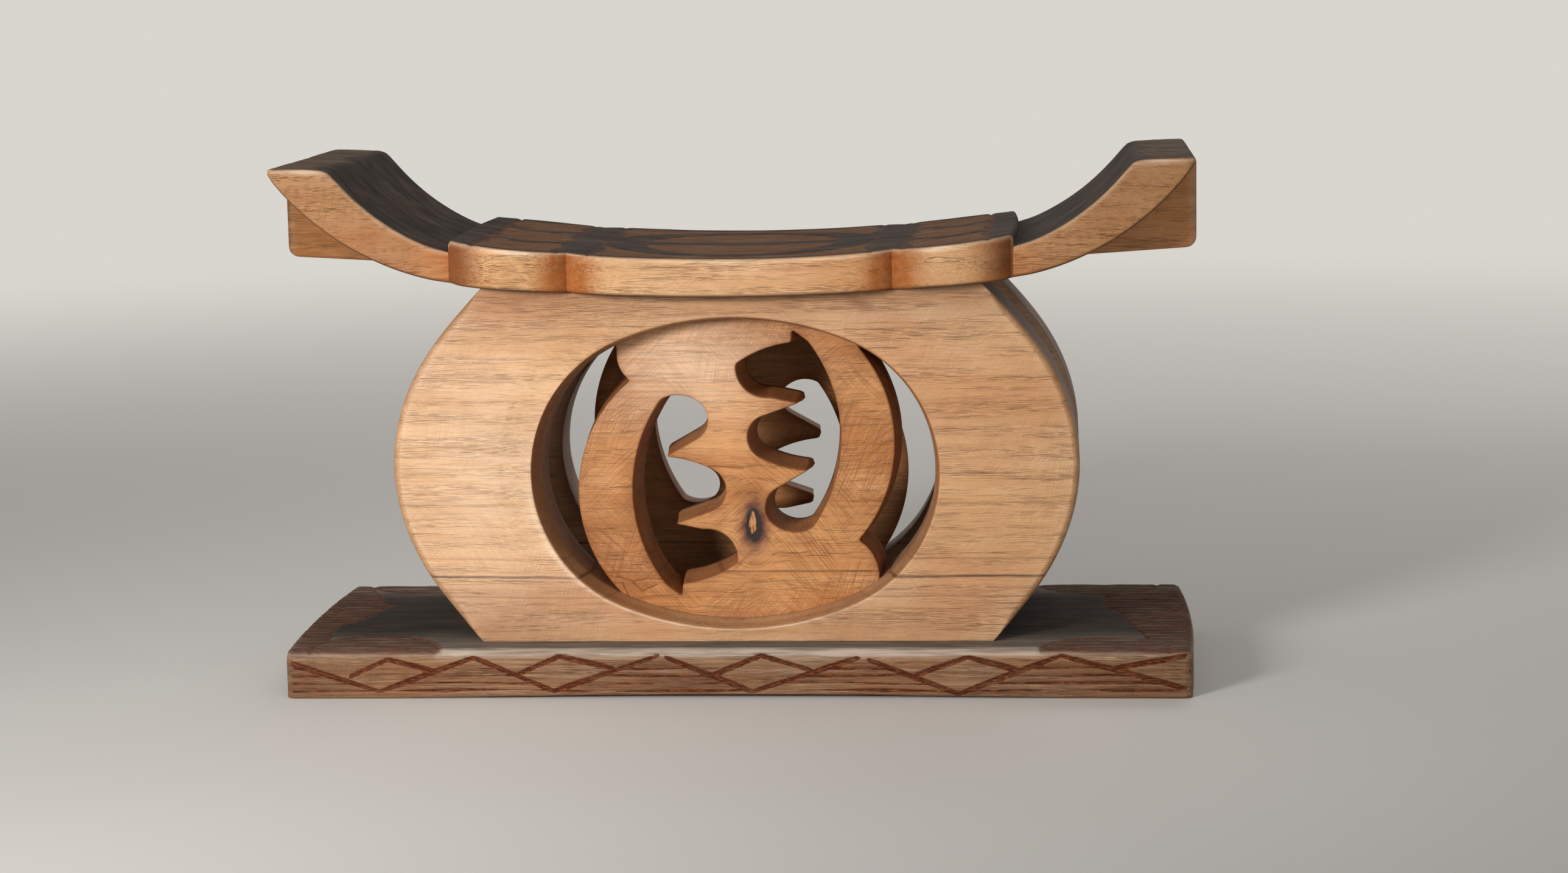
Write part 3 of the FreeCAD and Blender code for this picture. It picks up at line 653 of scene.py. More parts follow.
def makePlank():
    # the board's half-depth and height fall away as a quarter circle towards each end, its ends bulge
    # by a parabola, and then the cuts are taken off the long faces and the top
    halfX = plankHigh[0] - plank["endSwell"]
    halfY = plankHigh[1]
    corner, top = plank["cornerRadius"], plank["topRounding"]
    turn = np.linspace(0, math.pi / 2, 9)
    ending = halfX - corner + corner * np.sin(turn)
    body = np.linspace(-(halfX - corner), halfX - corner, int(2 * (halfX - corner) / plank["columnStep"]))
    xs = np.concatenate([-ending[:0:-1], body, ending[1:]])
    halfDepth = halfY - quarterFall(np.abs(xs) - (halfX - corner), corner)
    high = plankTop - quarterFall(np.abs(xs) - (halfX - top), top)
    low = plank["underHollow"] * (1 - smooth(np.abs(xs), 20, 205))
    grid = carriedBoard(xs, halfDepth, low, high, top, plank["footRounding"], sectionRows(*plank["rows"]))
    x, y, z = grid[..., 0].copy(), grid[..., 1].copy(), grid[..., 2].copy()

    # the knife leaves its cuts, the gouge its ribs
    onFace = smooth(np.abs(y), halfY - top - 0.4, halfY - top + 2.2) * smooth(halfX - np.abs(x), 0.5, 4)
    facing = np.where(y < 0, 1, -1)
    depth, stain, near = bandCut(x * facing, z)
    depth, stain, near = depth * onFace * smooth(z, 0.6, 2.0), stain * onFace, near * onFace
    ribDepth, ribbed, line, trough = plankTopCut(x, y)
    onTop = smooth(z, plankTop - 3.6, plankTop - 0.8) * smooth(halfX - np.abs(x), -1, 3)
    lowered = (ribDepth + line * plank["lineDepth"]) * onTop
    wander = plank["wander"] * unevenness(x / 33, y / 24 + z / 12, 3)
    grid[..., 1] = y + facing * (depth + np.abs(wander) * 0.5 * onFace)
    grid[..., 2] = z - lowered - np.abs(wander) * 0.4 * smooth(z, 15, 25)
    swell = plank["endSwell"] * smooth(np.abs(x), halfX - 60, halfX)
    grid[..., 0] = x + np.sign(x) * swell * (1 - (y / halfY) ** 2)

    # the strip along each long edge is painted paler, its arris most: rubbed wear and a painted highlight;
    # the ribs' crests get a painted highlight; the rest of the top is darkened by dirt and painted shade
    wide = 0.42 * smooth(np.abs(y), halfY - 48, halfY - 12)
    sharp = 0.58 * smooth(np.abs(y), halfY - 5, halfY - 1.5)
    arris = smooth(z, plankTop - 5.2, plankTop - 2.8) * (wide + sharp)
    arris = arris * (0.88 + 0.12 * unevenness(x / 12, y / 4, 19)) * (1 - smooth(near, 0.4, 0.6))
    ridge = ribbed * onTop * smooth(1 - trough, 0.5, 0.95)
    stainAndShade = np.maximum(stain, np.maximum(line, smooth(trough, 0.3, 0.9) * 0.7) * onTop)
    wearAndPaintedLight = np.clip(arris * (1 - 0.6 * ribbed) + ridge * 0.2, 0, 1)
    dirtAndShade = smooth(z, plankTop - 3.5, plankTop - 0.3) * (1 - 0.12 * ribbed)
    marks = np.stack([stainAndShade, wearAndPaintedLight, dirtAndShade, near], -1).reshape(-1, 4)
    points, faces = closeBoard(grid, plank["capStep"])
    endMarks = np.tile([0.12, 0.0, 0.25, 0.0], (len(points) - len(marks), 1))
    marks = np.concatenate([marks, endMarks])
    return meshPiece("plank", points, faces, marks, "base", plankWood)


makePlank()


# seat and the blocks under its wings

seat = {
    "rows": (13, 250, 10, 4),   # up a long edge, across the top, across the underside, round a corner
    "capStep": 2.5,
    "underMidHeight": seatLow[2],       # of the underside, at the middle
    "midThickness": 18.7,
    "saddleHalf": 139.0,
    "saddleDepth": 82.0,
    "topDip": 9.7,
    "underDip": 5.7,
    "underFlatHalf": 127.0,
    "notchX": 79.0,
    "notchDepth": 9.0,
    "notchReach": 8.2,          # how fast the edge recovers beside a notch
    "lobeFull": 28.0,           # from the notch to where the lobe is fullest
    "cornerX": 137.0,
    "wingTipFace": 2.8,
    "wingTipHalf": 80.0,
    "tipRounding": 5.0,         # of the upright corners, seen from above
    "wingWaistHalf": 67.0,
    "wingRoot": 15.2,
    "wingHollow": 5.6,
    "ledge": 29.0,
    "ledgeRounding": 7.5,
    "edgeRounding": 2.4,
    "tipTopRounding": 1.8,
    "endRounding": 2.6,         # of the saddle's upper edge where it steps down to the wing
    "endSwell": 2.0,
    "ribPitch": 6.4,
    "ribDepth": 0.95,
    "ribStagger": 1.6,
    "lineDepth": 0.55,
    # the carved pattern: half-sizes of the oval that the corners leave free and of the two half-moons,
    # and places measured from the middle
    "fieldHalfSizes": (69, 64),
    "moonHalfSizes": (49, 56),
    "cornerReach": 66,
    "lobePatch": (86, 124),
    "crossLines": (68, 84),
    "endLine": 124.5,
    "ledgePatch": 199,
    "rimMargin": 7,             # plain wood left along the long edges
}


def risingArc(x, halfChord, rise):
    # a circle that touches zero at the middle and has climbed by rise at halfChord: the radius less the
    # root of its square less x squared; the radius is the sum of both squares over twice the rise
    radius = (halfChord ** 2 + rise ** 2) / (2 * rise)
    return radius - np.sqrt(np.maximum(radius ** 2 - x ** 2, 0))


def underside(x):
    # a flat arc in the middle that runs on, tangent, into each wing. The wing's arc leaves the joint at
    # the flat arc's slope and ends at the tip: its radius is half the chord over the sine of the angle
    # between that slope and the chord.
    joinX, dip = seat["underFlatHalf"], seat["underDip"]
    radius = (joinX ** 2 + dip ** 2) / (2 * dip)
    slope = math.asin(joinX / radius)
    chordX = seatHigh[0] - joinX
    chordZ = seatHigh[2] - seat["wingTipFace"] - seat["underMidHeight"] - dip
    turn = math.atan2(chordZ, chordX) - slope
    wingRadius = math.hypot(chordX, chordZ) / (2 * math.sin(turn))
    arcX = joinX - wingRadius * math.sin(slope)
    arcZ = seat["underMidHeight"] + dip + wingRadius * math.cos(slope)
    middle = seat["underMidHeight"] + risingArc(np.minimum(np.abs(x), joinX), joinX, dip)
    wing = arcZ - np.sqrt(np.maximum(wingRadius ** 2 - (np.abs(x) - arcX) ** 2, 0))
    return np.where(np.abs(x) <= joinX, middle, wing)


def wingTop(x):
    # from the saddle up to the ledge along a hollow arc, then level; where the two meet, the lower one is
    # taken softly: half of the gap and of the root of its square plus the rounding's square
    root = np.array([seat["saddleHalf"], underside(np.array(seat["saddleHalf"])) + seat["wingRoot"]])
    lip = np.array([seatHigh[0] - seat["ledge"], seatHigh[2]])
    chord = lip - root
    length = np.hypot(*chord)
    radius = ((length / 2) ** 2 + seat["wingHollow"] ** 2) / (2 * seat["wingHollow"])
    normal = np.array([-chord[1], chord[0]]) / length
    centre = (root + lip) / 2 + normal * (radius - seat["wingHollow"])
    arc = centre[1] - np.sqrt(np.maximum(radius ** 2 - (np.abs(x) - centre[0]) ** 2, 0))
    soft = seat["ledgeRounding"] * 0.55
    gap = seatHigh[2] - np.where(np.abs(x) < lip[0], arc, seatHigh[2] + (np.abs(x) - lip[0]) * 0.9)
    return seatHigh[2] - (gap + np.sqrt(gap ** 2 + soft ** 2)) / 2


def saddleTop(x):
    # one long arc, lowest in the middle
    return seat["underMidHeight"] + seat["midThickness"] + risingArc(x, seat["saddleHalf"], seat["topDip"])


def saddleHalfDepth(x):
    # full depth less the notch's depth times a share: e to the minus distance from the notch over its
    # reach, plus the square of the share of the way from the lobe's fullest place to its corner
    fromNotch = np.abs(np.abs(x) - seat["notchX"])
    missing = np.exp(-fromNotch / seat["notchReach"])
    past = np.clip((np.abs(x) - seat["notchX"] - seat["lobeFull"])
                   / (seat["cornerX"] - seat["notchX"] - seat["lobeFull"]), 0, None)
    missing = np.clip(missing + past ** 2, 0, 1.6)
    return seat["saddleDepth"] - seat["notchDepth"] * missing


def seatTopCut(x, y):
    # ribbed patches: four corners and two half-moons in the middle, one on each lobe, one on each ledge.
    # Each oval's radius is the root of the squares of the shares of its half-sizes, 1 on its rim.
    # Gives the ribs' depth, the saddle's share that is ribbed, the ledges' share, and the knife lines.
    rib = np.floor(y / seat["ribPitch"])
    ragged = seat["ribStagger"] * np.sin(rib * 7.31)
    ax, ay = np.abs(x), np.abs(y)
    rim = saddleHalfDepth(x)
    fieldX, fieldY = seat["fieldHalfSizes"]
    field = np.sqrt((x / fieldX) ** 2 + (y / fieldY) ** 2)
    reach = seat["cornerReach"]
    corner = np.minimum(smooth(field, 1.0, 1.05), smooth(reach + ragged - ax, 0, 2))
    moonX, moonY = seat["moonHalfSizes"]
    round2 = np.sqrt((x / moonX) ** 2 + (y / moonY) ** 2)
    moon = np.minimum(smooth(1 - round2, 0.0, 0.05), smooth(ay, 6, 8))
    first, last = seat["lobePatch"]
    lobe = np.minimum(smooth(ax - first - ragged, 0, 2), smooth(last + ragged - ax, 0, 2))
    wave = 0.5 + 0.5 * np.sin((ax - first) / 6 + y / 20)
    lobe = np.minimum(lobe, smooth(np.abs(ay - 24 - 8 * wave), 3, 5))      # a plain ribbon winds through it
    patch = np.maximum(np.maximum(corner, moon), lobe) * smooth(rim - seat["rimMargin"] - ay, 0, 2.5)
    patch *= ax < seat["saddleHalf"]
    ledgeStart = seat["ledgePatch"] + 3 * np.sin(y / 11) + ragged
    ledge = smooth(ax, ledgeStart, ledgeStart + 3.5) * (ax > seat["saddleHalf"])

    def band(distance, halfWidth):
        return np.clip(1 - np.abs(distance) / halfWidth, 0, 1)

    ovals = np.maximum(band((field - 1) * reach, 1.2) * (ax < reach), band((round2 - 1) * 50, 1.2))
    across = sum(band(ax - place, 1.3) for place in seat["crossLines"])
    across = across + 1.6 * band(ax - seat["endLine"] + 0.6 * np.sin(y / 9), 1.6)
    line = np.maximum(ovals, across) * smooth(rim - ay, 0, 2) * (ax < seat["saddleHalf"])
    waver = 0.25 * np.sin(x / 11 + rib) + 0.2 * np.sin(x / 4.7 + rib * 2.1)
    uneven = 0.75 + 0.25 * np.sin(x / 8 + rib * 2.7)
    depth = seat["ribDepth"] * uneven * gouged(y + waver, seat["ribPitch"])
    return np.maximum(patch, ledge * 0.6) * depth, patch, ledge, line


def makeSeat():
    # One board carried from tip to tip: saddle and wings have their own half-depth and top, and the
    # underside is shared. The wing's half-depth grows with the square of the way out, and quarter circles
    # round its tip. Columns crowd at the notches, at the tips and where the saddle steps down to a wing.
    half, tip = seat["saddleHalf"], seatHigh[0]
    notch, tipRounding = seat["notchX"], seat["tipRounding"]
    crowded = [0.35, 0.8, 1.4, 2.2, 3.2]
    toNotch = notch - np.concatenate([[0], crowded, np.arange(4.4, notch, 1.55)])[::-1]
    toEnd = notch + np.concatenate([crowded, np.arange(4.4, half - notch - 4.2, 1.5)])
    step = half - np.array([3.6, 2.7, 1.9, 1.2, 0.7, 0.3, 0.08, 0.0])
    span = tip - half - tipRounding - 0.8
    wing = half + np.concatenate([[0.04, 0.4, 1.1, 2.0], np.arange(3.3, span, 1.75)])
    last = tip - tipRounding * np.array([1, 0.86, 0.72, 0.59, 0.47, 0.36, 0.26, 0.17, 0.10, 0.05, 0.015, 0])
    xs = np.concatenate([toNotch, toEnd, step, wing, last])
    xs = np.concatenate([-xs[::-1], xs])
    ax = np.abs(xs)
    onSaddle = ax <= half

    fall = quarterFall(ax - half + seat["endRounding"], seat["endRounding"])
    wingHalf = seat["wingWaistHalf"] + (seat["wingTipHalf"] - seat["wingWaistHalf"]) * (ax / tip) ** 2
    wingHalf = wingHalf - quarterFall(ax - tip + tipRounding, tipRounding)
    halfDepth = np.where(onSaddle, np.maximum(saddleHalfDepth(ax) - fall * 1.2, wingHalf), wingHalf)
    high = np.where(onSaddle, saddleTop(xs) - fall, wingTop(xs))
    low = underside(xs)
    high = high - 0.6 * quarterFall(ax - tip + seat["tipTopRounding"], seat["tipTopRounding"])
    radius = np.full(len(xs), seat["edgeRounding"])
    grid = carriedBoard(xs, halfDepth, low, high, radius, radius * 0.8, sectionRows(*seat["rows"]))
    x, y, z = grid[..., 0].copy(), grid[..., 1].copy(), grid[..., 2].copy()

    ribDepth, patch, ledge, line = seatTopCut(x, y)
    surface = high[:, None]
    onTop = smooth(z, surface - 1.6, surface - 0.1)
    wander = 0.25 * np.abs(unevenness(x / 25, y / 30, 21))
    grid[..., 2] = z - (ribDepth + line * seat["lineDepth"] + wander) * onTop
    # the saddle's ends bulge a little, and the long edges are not quite even
    ends = np.exp(-((ax - half) / 5) ** 2)[:, None] * np.sign(xs)[:, None]
    grid[..., 0] = x - ends * seat["endSwell"] * (y / 73) ** 2
    side = smooth(np.abs(y), halfDepth[:, None] - 1.5, halfDepth[:, None] - 0.1)
    grid[..., 1] = y - np.sign(y) * side * 0.3 * np.abs(unevenness(x / 19, z / 14 + y / 60, 9))

    # stain and painted shade darken the notches and the saddle's ends, where the lobes turn from the light;
    # painted shade darkens the wings, most where they begin
    blotch = 1 + 0.25 * unevenness(x / 7, z / 5, 27)
    notchStainAndShade = (1 - smooth(np.abs(ax - notch), 3, 21))[:, None] * blotch * side * onSaddle[:, None]
    endStainAndShade = (smooth(ax, half - 30, half - 9) * onSaddle)[:, None] * blotch * side
    notchLine = np.exp(-((np.abs(ax - notch) - 1.2) / 0.9) ** 2)[:, None] * side
    root = ((0.22 + 0.45 * np.exp(-np.clip(ax - half, 0, None) / 9)) * ~onSaddle)[:, None] * side * blotch
    stainAndShade = np.clip(notchStainAndShade * 0.92 + endStainAndShade * 0.45 + notchLine * 0.1 + root, 0, 0.84)
    carved = np.clip(line * 0.2 + patch * (0.14 + 0.2 * smooth(ribDepth, 0.25, 0.8)), 0, 1)
    stainAndShade = stainAndShade * (1 - onTop) + onTop * carved
    # the upper arris is painted pale: rubbed wear and a painted highlight; painted highlights sit on the lobes
    # and the ledges, and the front of the middle is painted a little lighter, as painted light
    outermost = smooth(np.abs(y), halfDepth[:, None] - 4, halfDepth[:, None] - 1)
    rubAndHighlight = np.exp(-((z - surface + 1.3) / 0.9) ** 2) * outermost * (0.6 + 0.4 * unevenness(x / 14, z / 6, 33))
    paintedGlints = np.exp(-((ax - 102) / 11) ** 2) + np.exp(-((ax - 208) / 11) ** 2)
    upper = smooth(z - surface, -4.0, -0.6) * (1 - smooth(z - surface, -0.5, -0.1))
    rubAndHighlight = rubAndHighlight + 1.4 * paintedGlints[:, None] * side * upper
    rubAndHighlight = rubAndHighlight + (0.16 * (1 - smooth(ax, 30, 62)))[:, None] * side * (1 - onTop)
    ridge = np.maximum(patch, ledge) * smooth(-ribDepth, -0.3, -0.05) * onTop
    # the top is darkened by dirt and painted shade; painted shade darkens the wings and the saddle's ends,
    # and a painted shadow line runs where the underside begins
    dirtAndShade = onTop * smooth(halfDepth[:, None] - np.abs(y), 0.2, 2.5) * (1 - 0.13 * patch - 0.06 * ledge)
    under = smooth(low[:, None] + 1.2 - z, -0.6, 0.6) * 0.85
    paintedEndShade = 0.3 * smooth(ax, half, half + 20) * ~onSaddle + 0.88 * smooth(ax, half - 22, half - 5) * onSaddle
    under = np.maximum(under, paintedEndShade[:, None] * side)
    wearAndPaintedLight = np.clip(rubAndHighlight * 0.6 + ridge * 0.16, 0, 1)
    marks = np.stack([stainAndShade, wearAndPaintedLight, np.maximum(dirtAndShade, under)], -1).reshape(-1, 3)
    points, faces = closeBoard(grid, seat["capStep"])
    endMarks = np.tile([0.2, 0.1, 0.3], (len(points) - len(marks), 1))
    marks = np.concatenate([marks, endMarks])
    return meshPiece("carved_seat", points, faces, marks, "seat", seatWood)


makeSeat()

block = {
    "rows": (18, 30, 30, 3),
    "columnStep": 1.5,
    "capStep": 2.5,
    "length": 66.0,
    "rise": 4.0,                # how far the underside climbs towards the outer end
    "bottomRounding": 5.0,
    "tipRounding": 2.6,         # past the seat's tip, so that no corner stands out under it
    "topArris": 0.5,
    "arris": 1.3,
    "glueLine": 0.25,
    "stain": {1: 0.08, -1: 0.68},   # painted shade: the left block is painted darker than the right
    # painted light: the right block is painted paler
    "wearAndPaintedLight": {1: 0.08, -1: 0.0},
}


def makeBlock(name, node, side):
    # a board whose top follows the seat's underside and whose underside is a slope that ends in a
    # quarter circle at the outer end
    low, high = nodeBox(node)
    outer, inner = max(abs(low[0]), abs(high[0])), min(abs(low[0]), abs(high[0]))
    corner, arris, tipRounding = block["bottomRounding"], block["arris"], block["tipRounding"]
    turn = np.linspace(0, math.pi / 2, 7)
    body = np.arange(inner + arris, outer - corner, block["columnStep"])
    start = inner + arris * (1 - np.cos(turn[:-1]))
    ending = outer - corner + corner * np.sin(turn)
    ax = np.concatenate([start, body, ending])
    slope = block["rise"] * (ax - inner) / block["length"]
    bottom = low[2] + slope + quarterFall(ax - (outer - corner), corner)
    top = underside(np.minimum(ax, seatHigh[0])) - block["glueLine"]
    top = np.maximum(top - quarterFall(ax - (outer - tipRounding), tipRounding), bottom + 0.8)
    halfDepth = high[1] - quarterFall(ax - (outer - arris), arris)
    xs = ax * side
    grid = carriedBoard(xs, halfDepth, bottom, top, np.full(len(xs), block["topArris"]),
                        np.full(len(xs), arris), sectionRows(*block["rows"]))
    x, y, z = grid[..., 0], grid[..., 1], grid[..., 2]
    grid[..., 1] = y - np.sign(y) * 0.2 * np.abs(unevenness(x / 12, z / 9, 14))
    # a painted shadow under the seat, stain at the outer end, whose upright edges are rubbed pale,
    # and the left block's painted shade and the right block's painted light
    outEdge = smooth(np.abs(x), outer - 5, outer - 0.5)
    shadowUnderSeat = 0.5 * smooth(z - top[:, None], -1.3, -0.2) * (1 - outEdge)
    stainAndShade = block["stain"][side] + 0.35 * smooth(np.abs(x), outer - 3, outer) + shadowUnderSeat
    rubAndHighlight = 0.35 * outEdge * smooth(np.abs(y), high[1] - 3, high[1] - 1) + block["wearAndPaintedLight"][side]
    marks = np.stack([stainAndShade, rubAndHighlight, np.full(x.shape, 0.05)], -1).reshape(-1, 3)
    points, faces = closeBoard(grid, block["capStep"])
    endMarks = np.tile([0.35, 0.0, 0.1], (len(points) - len(marks), 1))
    marks = np.concatenate([marks, endMarks])
    return meshPiece(name, points, faces, marks, node, blockWood)


makeBlock("right_block", "right_wing_block", 1)
makeBlock("left_block", "left_wing_block", -1)


# pierced panels: a surround with the window, and the symbol that fills it

panel = {
    "topHalf": 121.5,
    "footHalf": 126.0,
    "widestHalf": 168.5,
    "widestHeight": 86.0,       # above the plank
    "upperFlank": (0.755, 0.51),
    "lowerFlank": (0.67, 0.57),
    "windowHalfWidth": 100.5,
    "windowHalfHeight": 77.0,
    "windowCentreHeight": 83.5,
    "windowEndRadius": 71.0,
    "recess": 16.0,
    "lean": 2.6,
    "rimRounding": (0.9, 2.2),  # all round, and on the left where hands have worn it
    "rimDepth": (0.9, 1.5),
    "rimRoll": (0.1, 1.6),      # how far the face dips towards the rim
    "rollReach": 24.0,
    "arris": (0.5, 3.6),        # at head and foot, and along the flanks
    "backArris": 0.8,
    "glueLine": 0.25,
}
symbol = {
    "rise": 2.6,
    "arris": 0.75,
    "taper": 2.4,               # each opening narrows this much per side towards the back
    "roomShare": 0.28,          # but takes no more than this share of a narrow opening
    "wallRows": 8,
    "wallCurve": 1.15,          # power of the depth's share: the walls start a little steeper
    "bury": 2.0,                # how far the symbol runs into the surround
    "backInset": 0.3,
    "step": 0.8,                # between points along an outline
    "fill": 2.6,                # and over the face, whose outermost ones stay this far from an edge
    # where the knife ran past the line that it followed
    "slips": (((-59.8, 54.6), (-52.9, 52.2), (-44.9, 53.7), (-37.0, 53.3)),
              ((-52.6, 51.5), (-48.1, 47.2), (-41.4, 50.3)),
              ((-57.8, 50.9), (-54.3, 43.2), (-47.0, 41.1)),
              ((-13.7, 110.1), (-6.0, 109.7), (1.4, 108.8))),
    "slipDepth": 0.35,
    "slipHalfWidth": 0.42,
    # strokes as shares of the window's half-sizes: two places for a straight one, three for an arc
    "inner": (
        ((0.004, 0.644), (0.045, 0.485), (0.172, 0.426)),
        ((0.172, 0.426), (0.308, 0.388)),
        ((0.308, 0.388), (0.115, 0.300)),
        ((0.115, 0.300), (0.055, 0.170), (0.112, 0.042)),
        ((0.112, 0.042), (0.215, -0.014), (0.349, -0.048)),
        ((0.349, -0.048), (0.190, -0.165)),
        ((0.190, -0.165), (0.138, -0.300), (0.194, -0.411)),
        ((0.194, -0.411), (0.283, -0.447), (0.368, -0.418)),
        ((0.368, -0.418), (0.512, 0.090), (0.359, 0.787)),
        ((0.359, 0.787), (0.283, 0.861)),
        ((0.283, 0.861), (0.279, 0.779)),
        ((0.279, 0.779), (0.135, 0.735), (0.004, 0.644)),
    ),
    "rightCrescent": (
        ((0.600, 0.900), (0.604, 0.748)),
        ((0.604, 0.748), (0.778, 0.090), (0.594, -0.500)),
        ((0.594, -0.500), (0.692, -0.690), (0.610, -0.960)),
    ),
    "leftCrescent": (
        ((-0.590, 0.900), (-0.580, 0.720)),
        ((-0.580, 0.720), (-0.562, 0.610), (-0.517, 0.543)),
        ((-0.517, 0.543), (-0.779, -0.060), (-0.580, -0.844)),
        ((-0.580, -0.844), (-0.500, -0.960)),
    ),
}
windowCentre = np.array([0, plankTop + panel["windowCentreHeight"]])
frontY, backY = panelLow[1], panelHigh[1]
plateY = frontY + panel["recess"]


def throughPoints(places, count):
    # cubic spline through the places, spaced by its chords. Its bends, the second derivatives, solve one
    # equation of three terms per place and are zero at both ends; between two places it is their straight
    # blend plus the bends times the cubes of the ways to either end, over six chords.
    places = np.array(places, float)
    t = np.concatenate([[0], np.cumsum(np.hypot(*np.diff(places, axis=0).T))])
    h = np.diff(t)
    system = np.eye(len(t))
    right = np.zeros_like(places)
    for k in range(1, len(t) - 1):
        system[k, k - 1:k + 2] = h[k - 1], 2 * (h[k - 1] + h[k]), h[k]
        right[k] = 6 * ((places[k + 1] - places[k]) / h[k] - (places[k] - places[k - 1]) / h[k - 1])
    bend = np.linalg.solve(system, right)
    s = np.linspace(0, t[-1], count)
    k = np.clip(np.searchsorted(t, s) - 1, 0, len(h) - 1)
    a, b = (t[k + 1] - s)[:, None], (s - t[k])[:, None]
    w = h[k][:, None]
    return (bend[k] * a ** 3 + bend[k + 1] * b ** 3) / (6 * w) \
        + (places[k] / w - bend[k] * w / 6) * a + (places[k + 1] / w - bend[k + 1] * w / 6) * b


def panelOutline():
    # foot, right flank, head under the seat, left flank; a flank is a spline through its widest place and
    # one place above and below it, each given as shares of the way across and up
    wide, foot, top = panel["widestHalf"], panel["footHalf"], panel["topHalf"]
    wideZ = plankTop + panel["widestHeight"]
    topZ = float(underside(np.array(top))) - panel["glueLine"]
    gained, reached = panel["lowerFlank"]
    low = (foot + (wide - foot) * gained, wideZ - panel["widestHeight"] * reached)
    gained, reached = panel["upperFlank"]
    upper = (top + (wide - top) * gained, wideZ + (topZ - wideZ) * reached)
    flank = throughPoints([(foot, plankTop), low, (wide, wideZ), upper, (top, topZ)], 120)
    headX = np.linspace(top, -top, 130)
    head = np.column_stack([headX, underside(headX) - panel["glueLine"]])
    footX = np.linspace(-foot, foot, 110)
    floor = np.column_stack([footX, np.full(110, plankTop)])
    leftFlank = flank[::-1] * (-1, 1)
    return np.concatenate([floor[:-1], flank[:-1], head[:-1], leftFlank[:-1]])


def windowOval(lean, count=1440):
    # carpenter's oval of four tangent arcs, as a function of the angle seen from its centre: each arc's
    # reach is the way to its own centre along the ray plus the root of its radius squared less the square
    # of that centre's distance from the ray
    halfX, halfZ = panel["windowHalfWidth"] - lean, panel["windowHalfHeight"] - lean
    end = panel["windowEndRadius"] - lean
    longR = (halfX ** 2 + halfZ ** 2 - 2 * halfX * end) / (2 * (halfZ - end))
    endX, longZ = halfX - end, longR - halfZ
    turn = np.linspace(0, 2 * math.pi, count, endpoint=False)
    cosine, sine = np.abs(np.cos(turn)), np.abs(np.sin(turn))
    # the ray meets the end arc, or past its joint the long arc
    fromEnd = endX * cosine + np.sqrt(end ** 2 - (endX * sine) ** 2)
    fromLong = -longZ * sine + np.sqrt(longR ** 2 - (longZ * cosine) ** 2)
    meeting = math.atan2(endX, longZ)
    joint = math.atan2(longR * math.cos(meeting) - longZ, longR * math.sin(meeting))
    reach = np.where(np.arctan2(sine, cosine) < joint, fromEnd, fromLong)
    return turn, reach


def onOval(angle, lean):
    # places on the oval at these angles from the window's middle, the oval made smaller by lean all round
    turn, reach = windowOval(lean)
    r = np.interp(angle, turn, reach, period=2 * math.pi)
    return windowCentre + np.column_stack([r * np.cos(angle), r * np.sin(angle)])


def outward(loop):
    # normals of a closed anticlockwise loop: those of the two edges at a point added, over one plus their
    # cosine, so that they are longer at corners and an offset stays parallel
    after, before = np.roll(loop, -1, 0) - loop, loop - np.roll(loop, 1, 0)
    after /= np.hypot(*after.T)[:, None]
    before /= np.hypot(*before.T)[:, None]
    n1, n2 = after[:, ::-1] * (1, -1), before[:, ::-1] * (1, -1)
    total = n1 + n2
    return total / np.maximum((total * n1).sum(1), 0.5)[:, None]


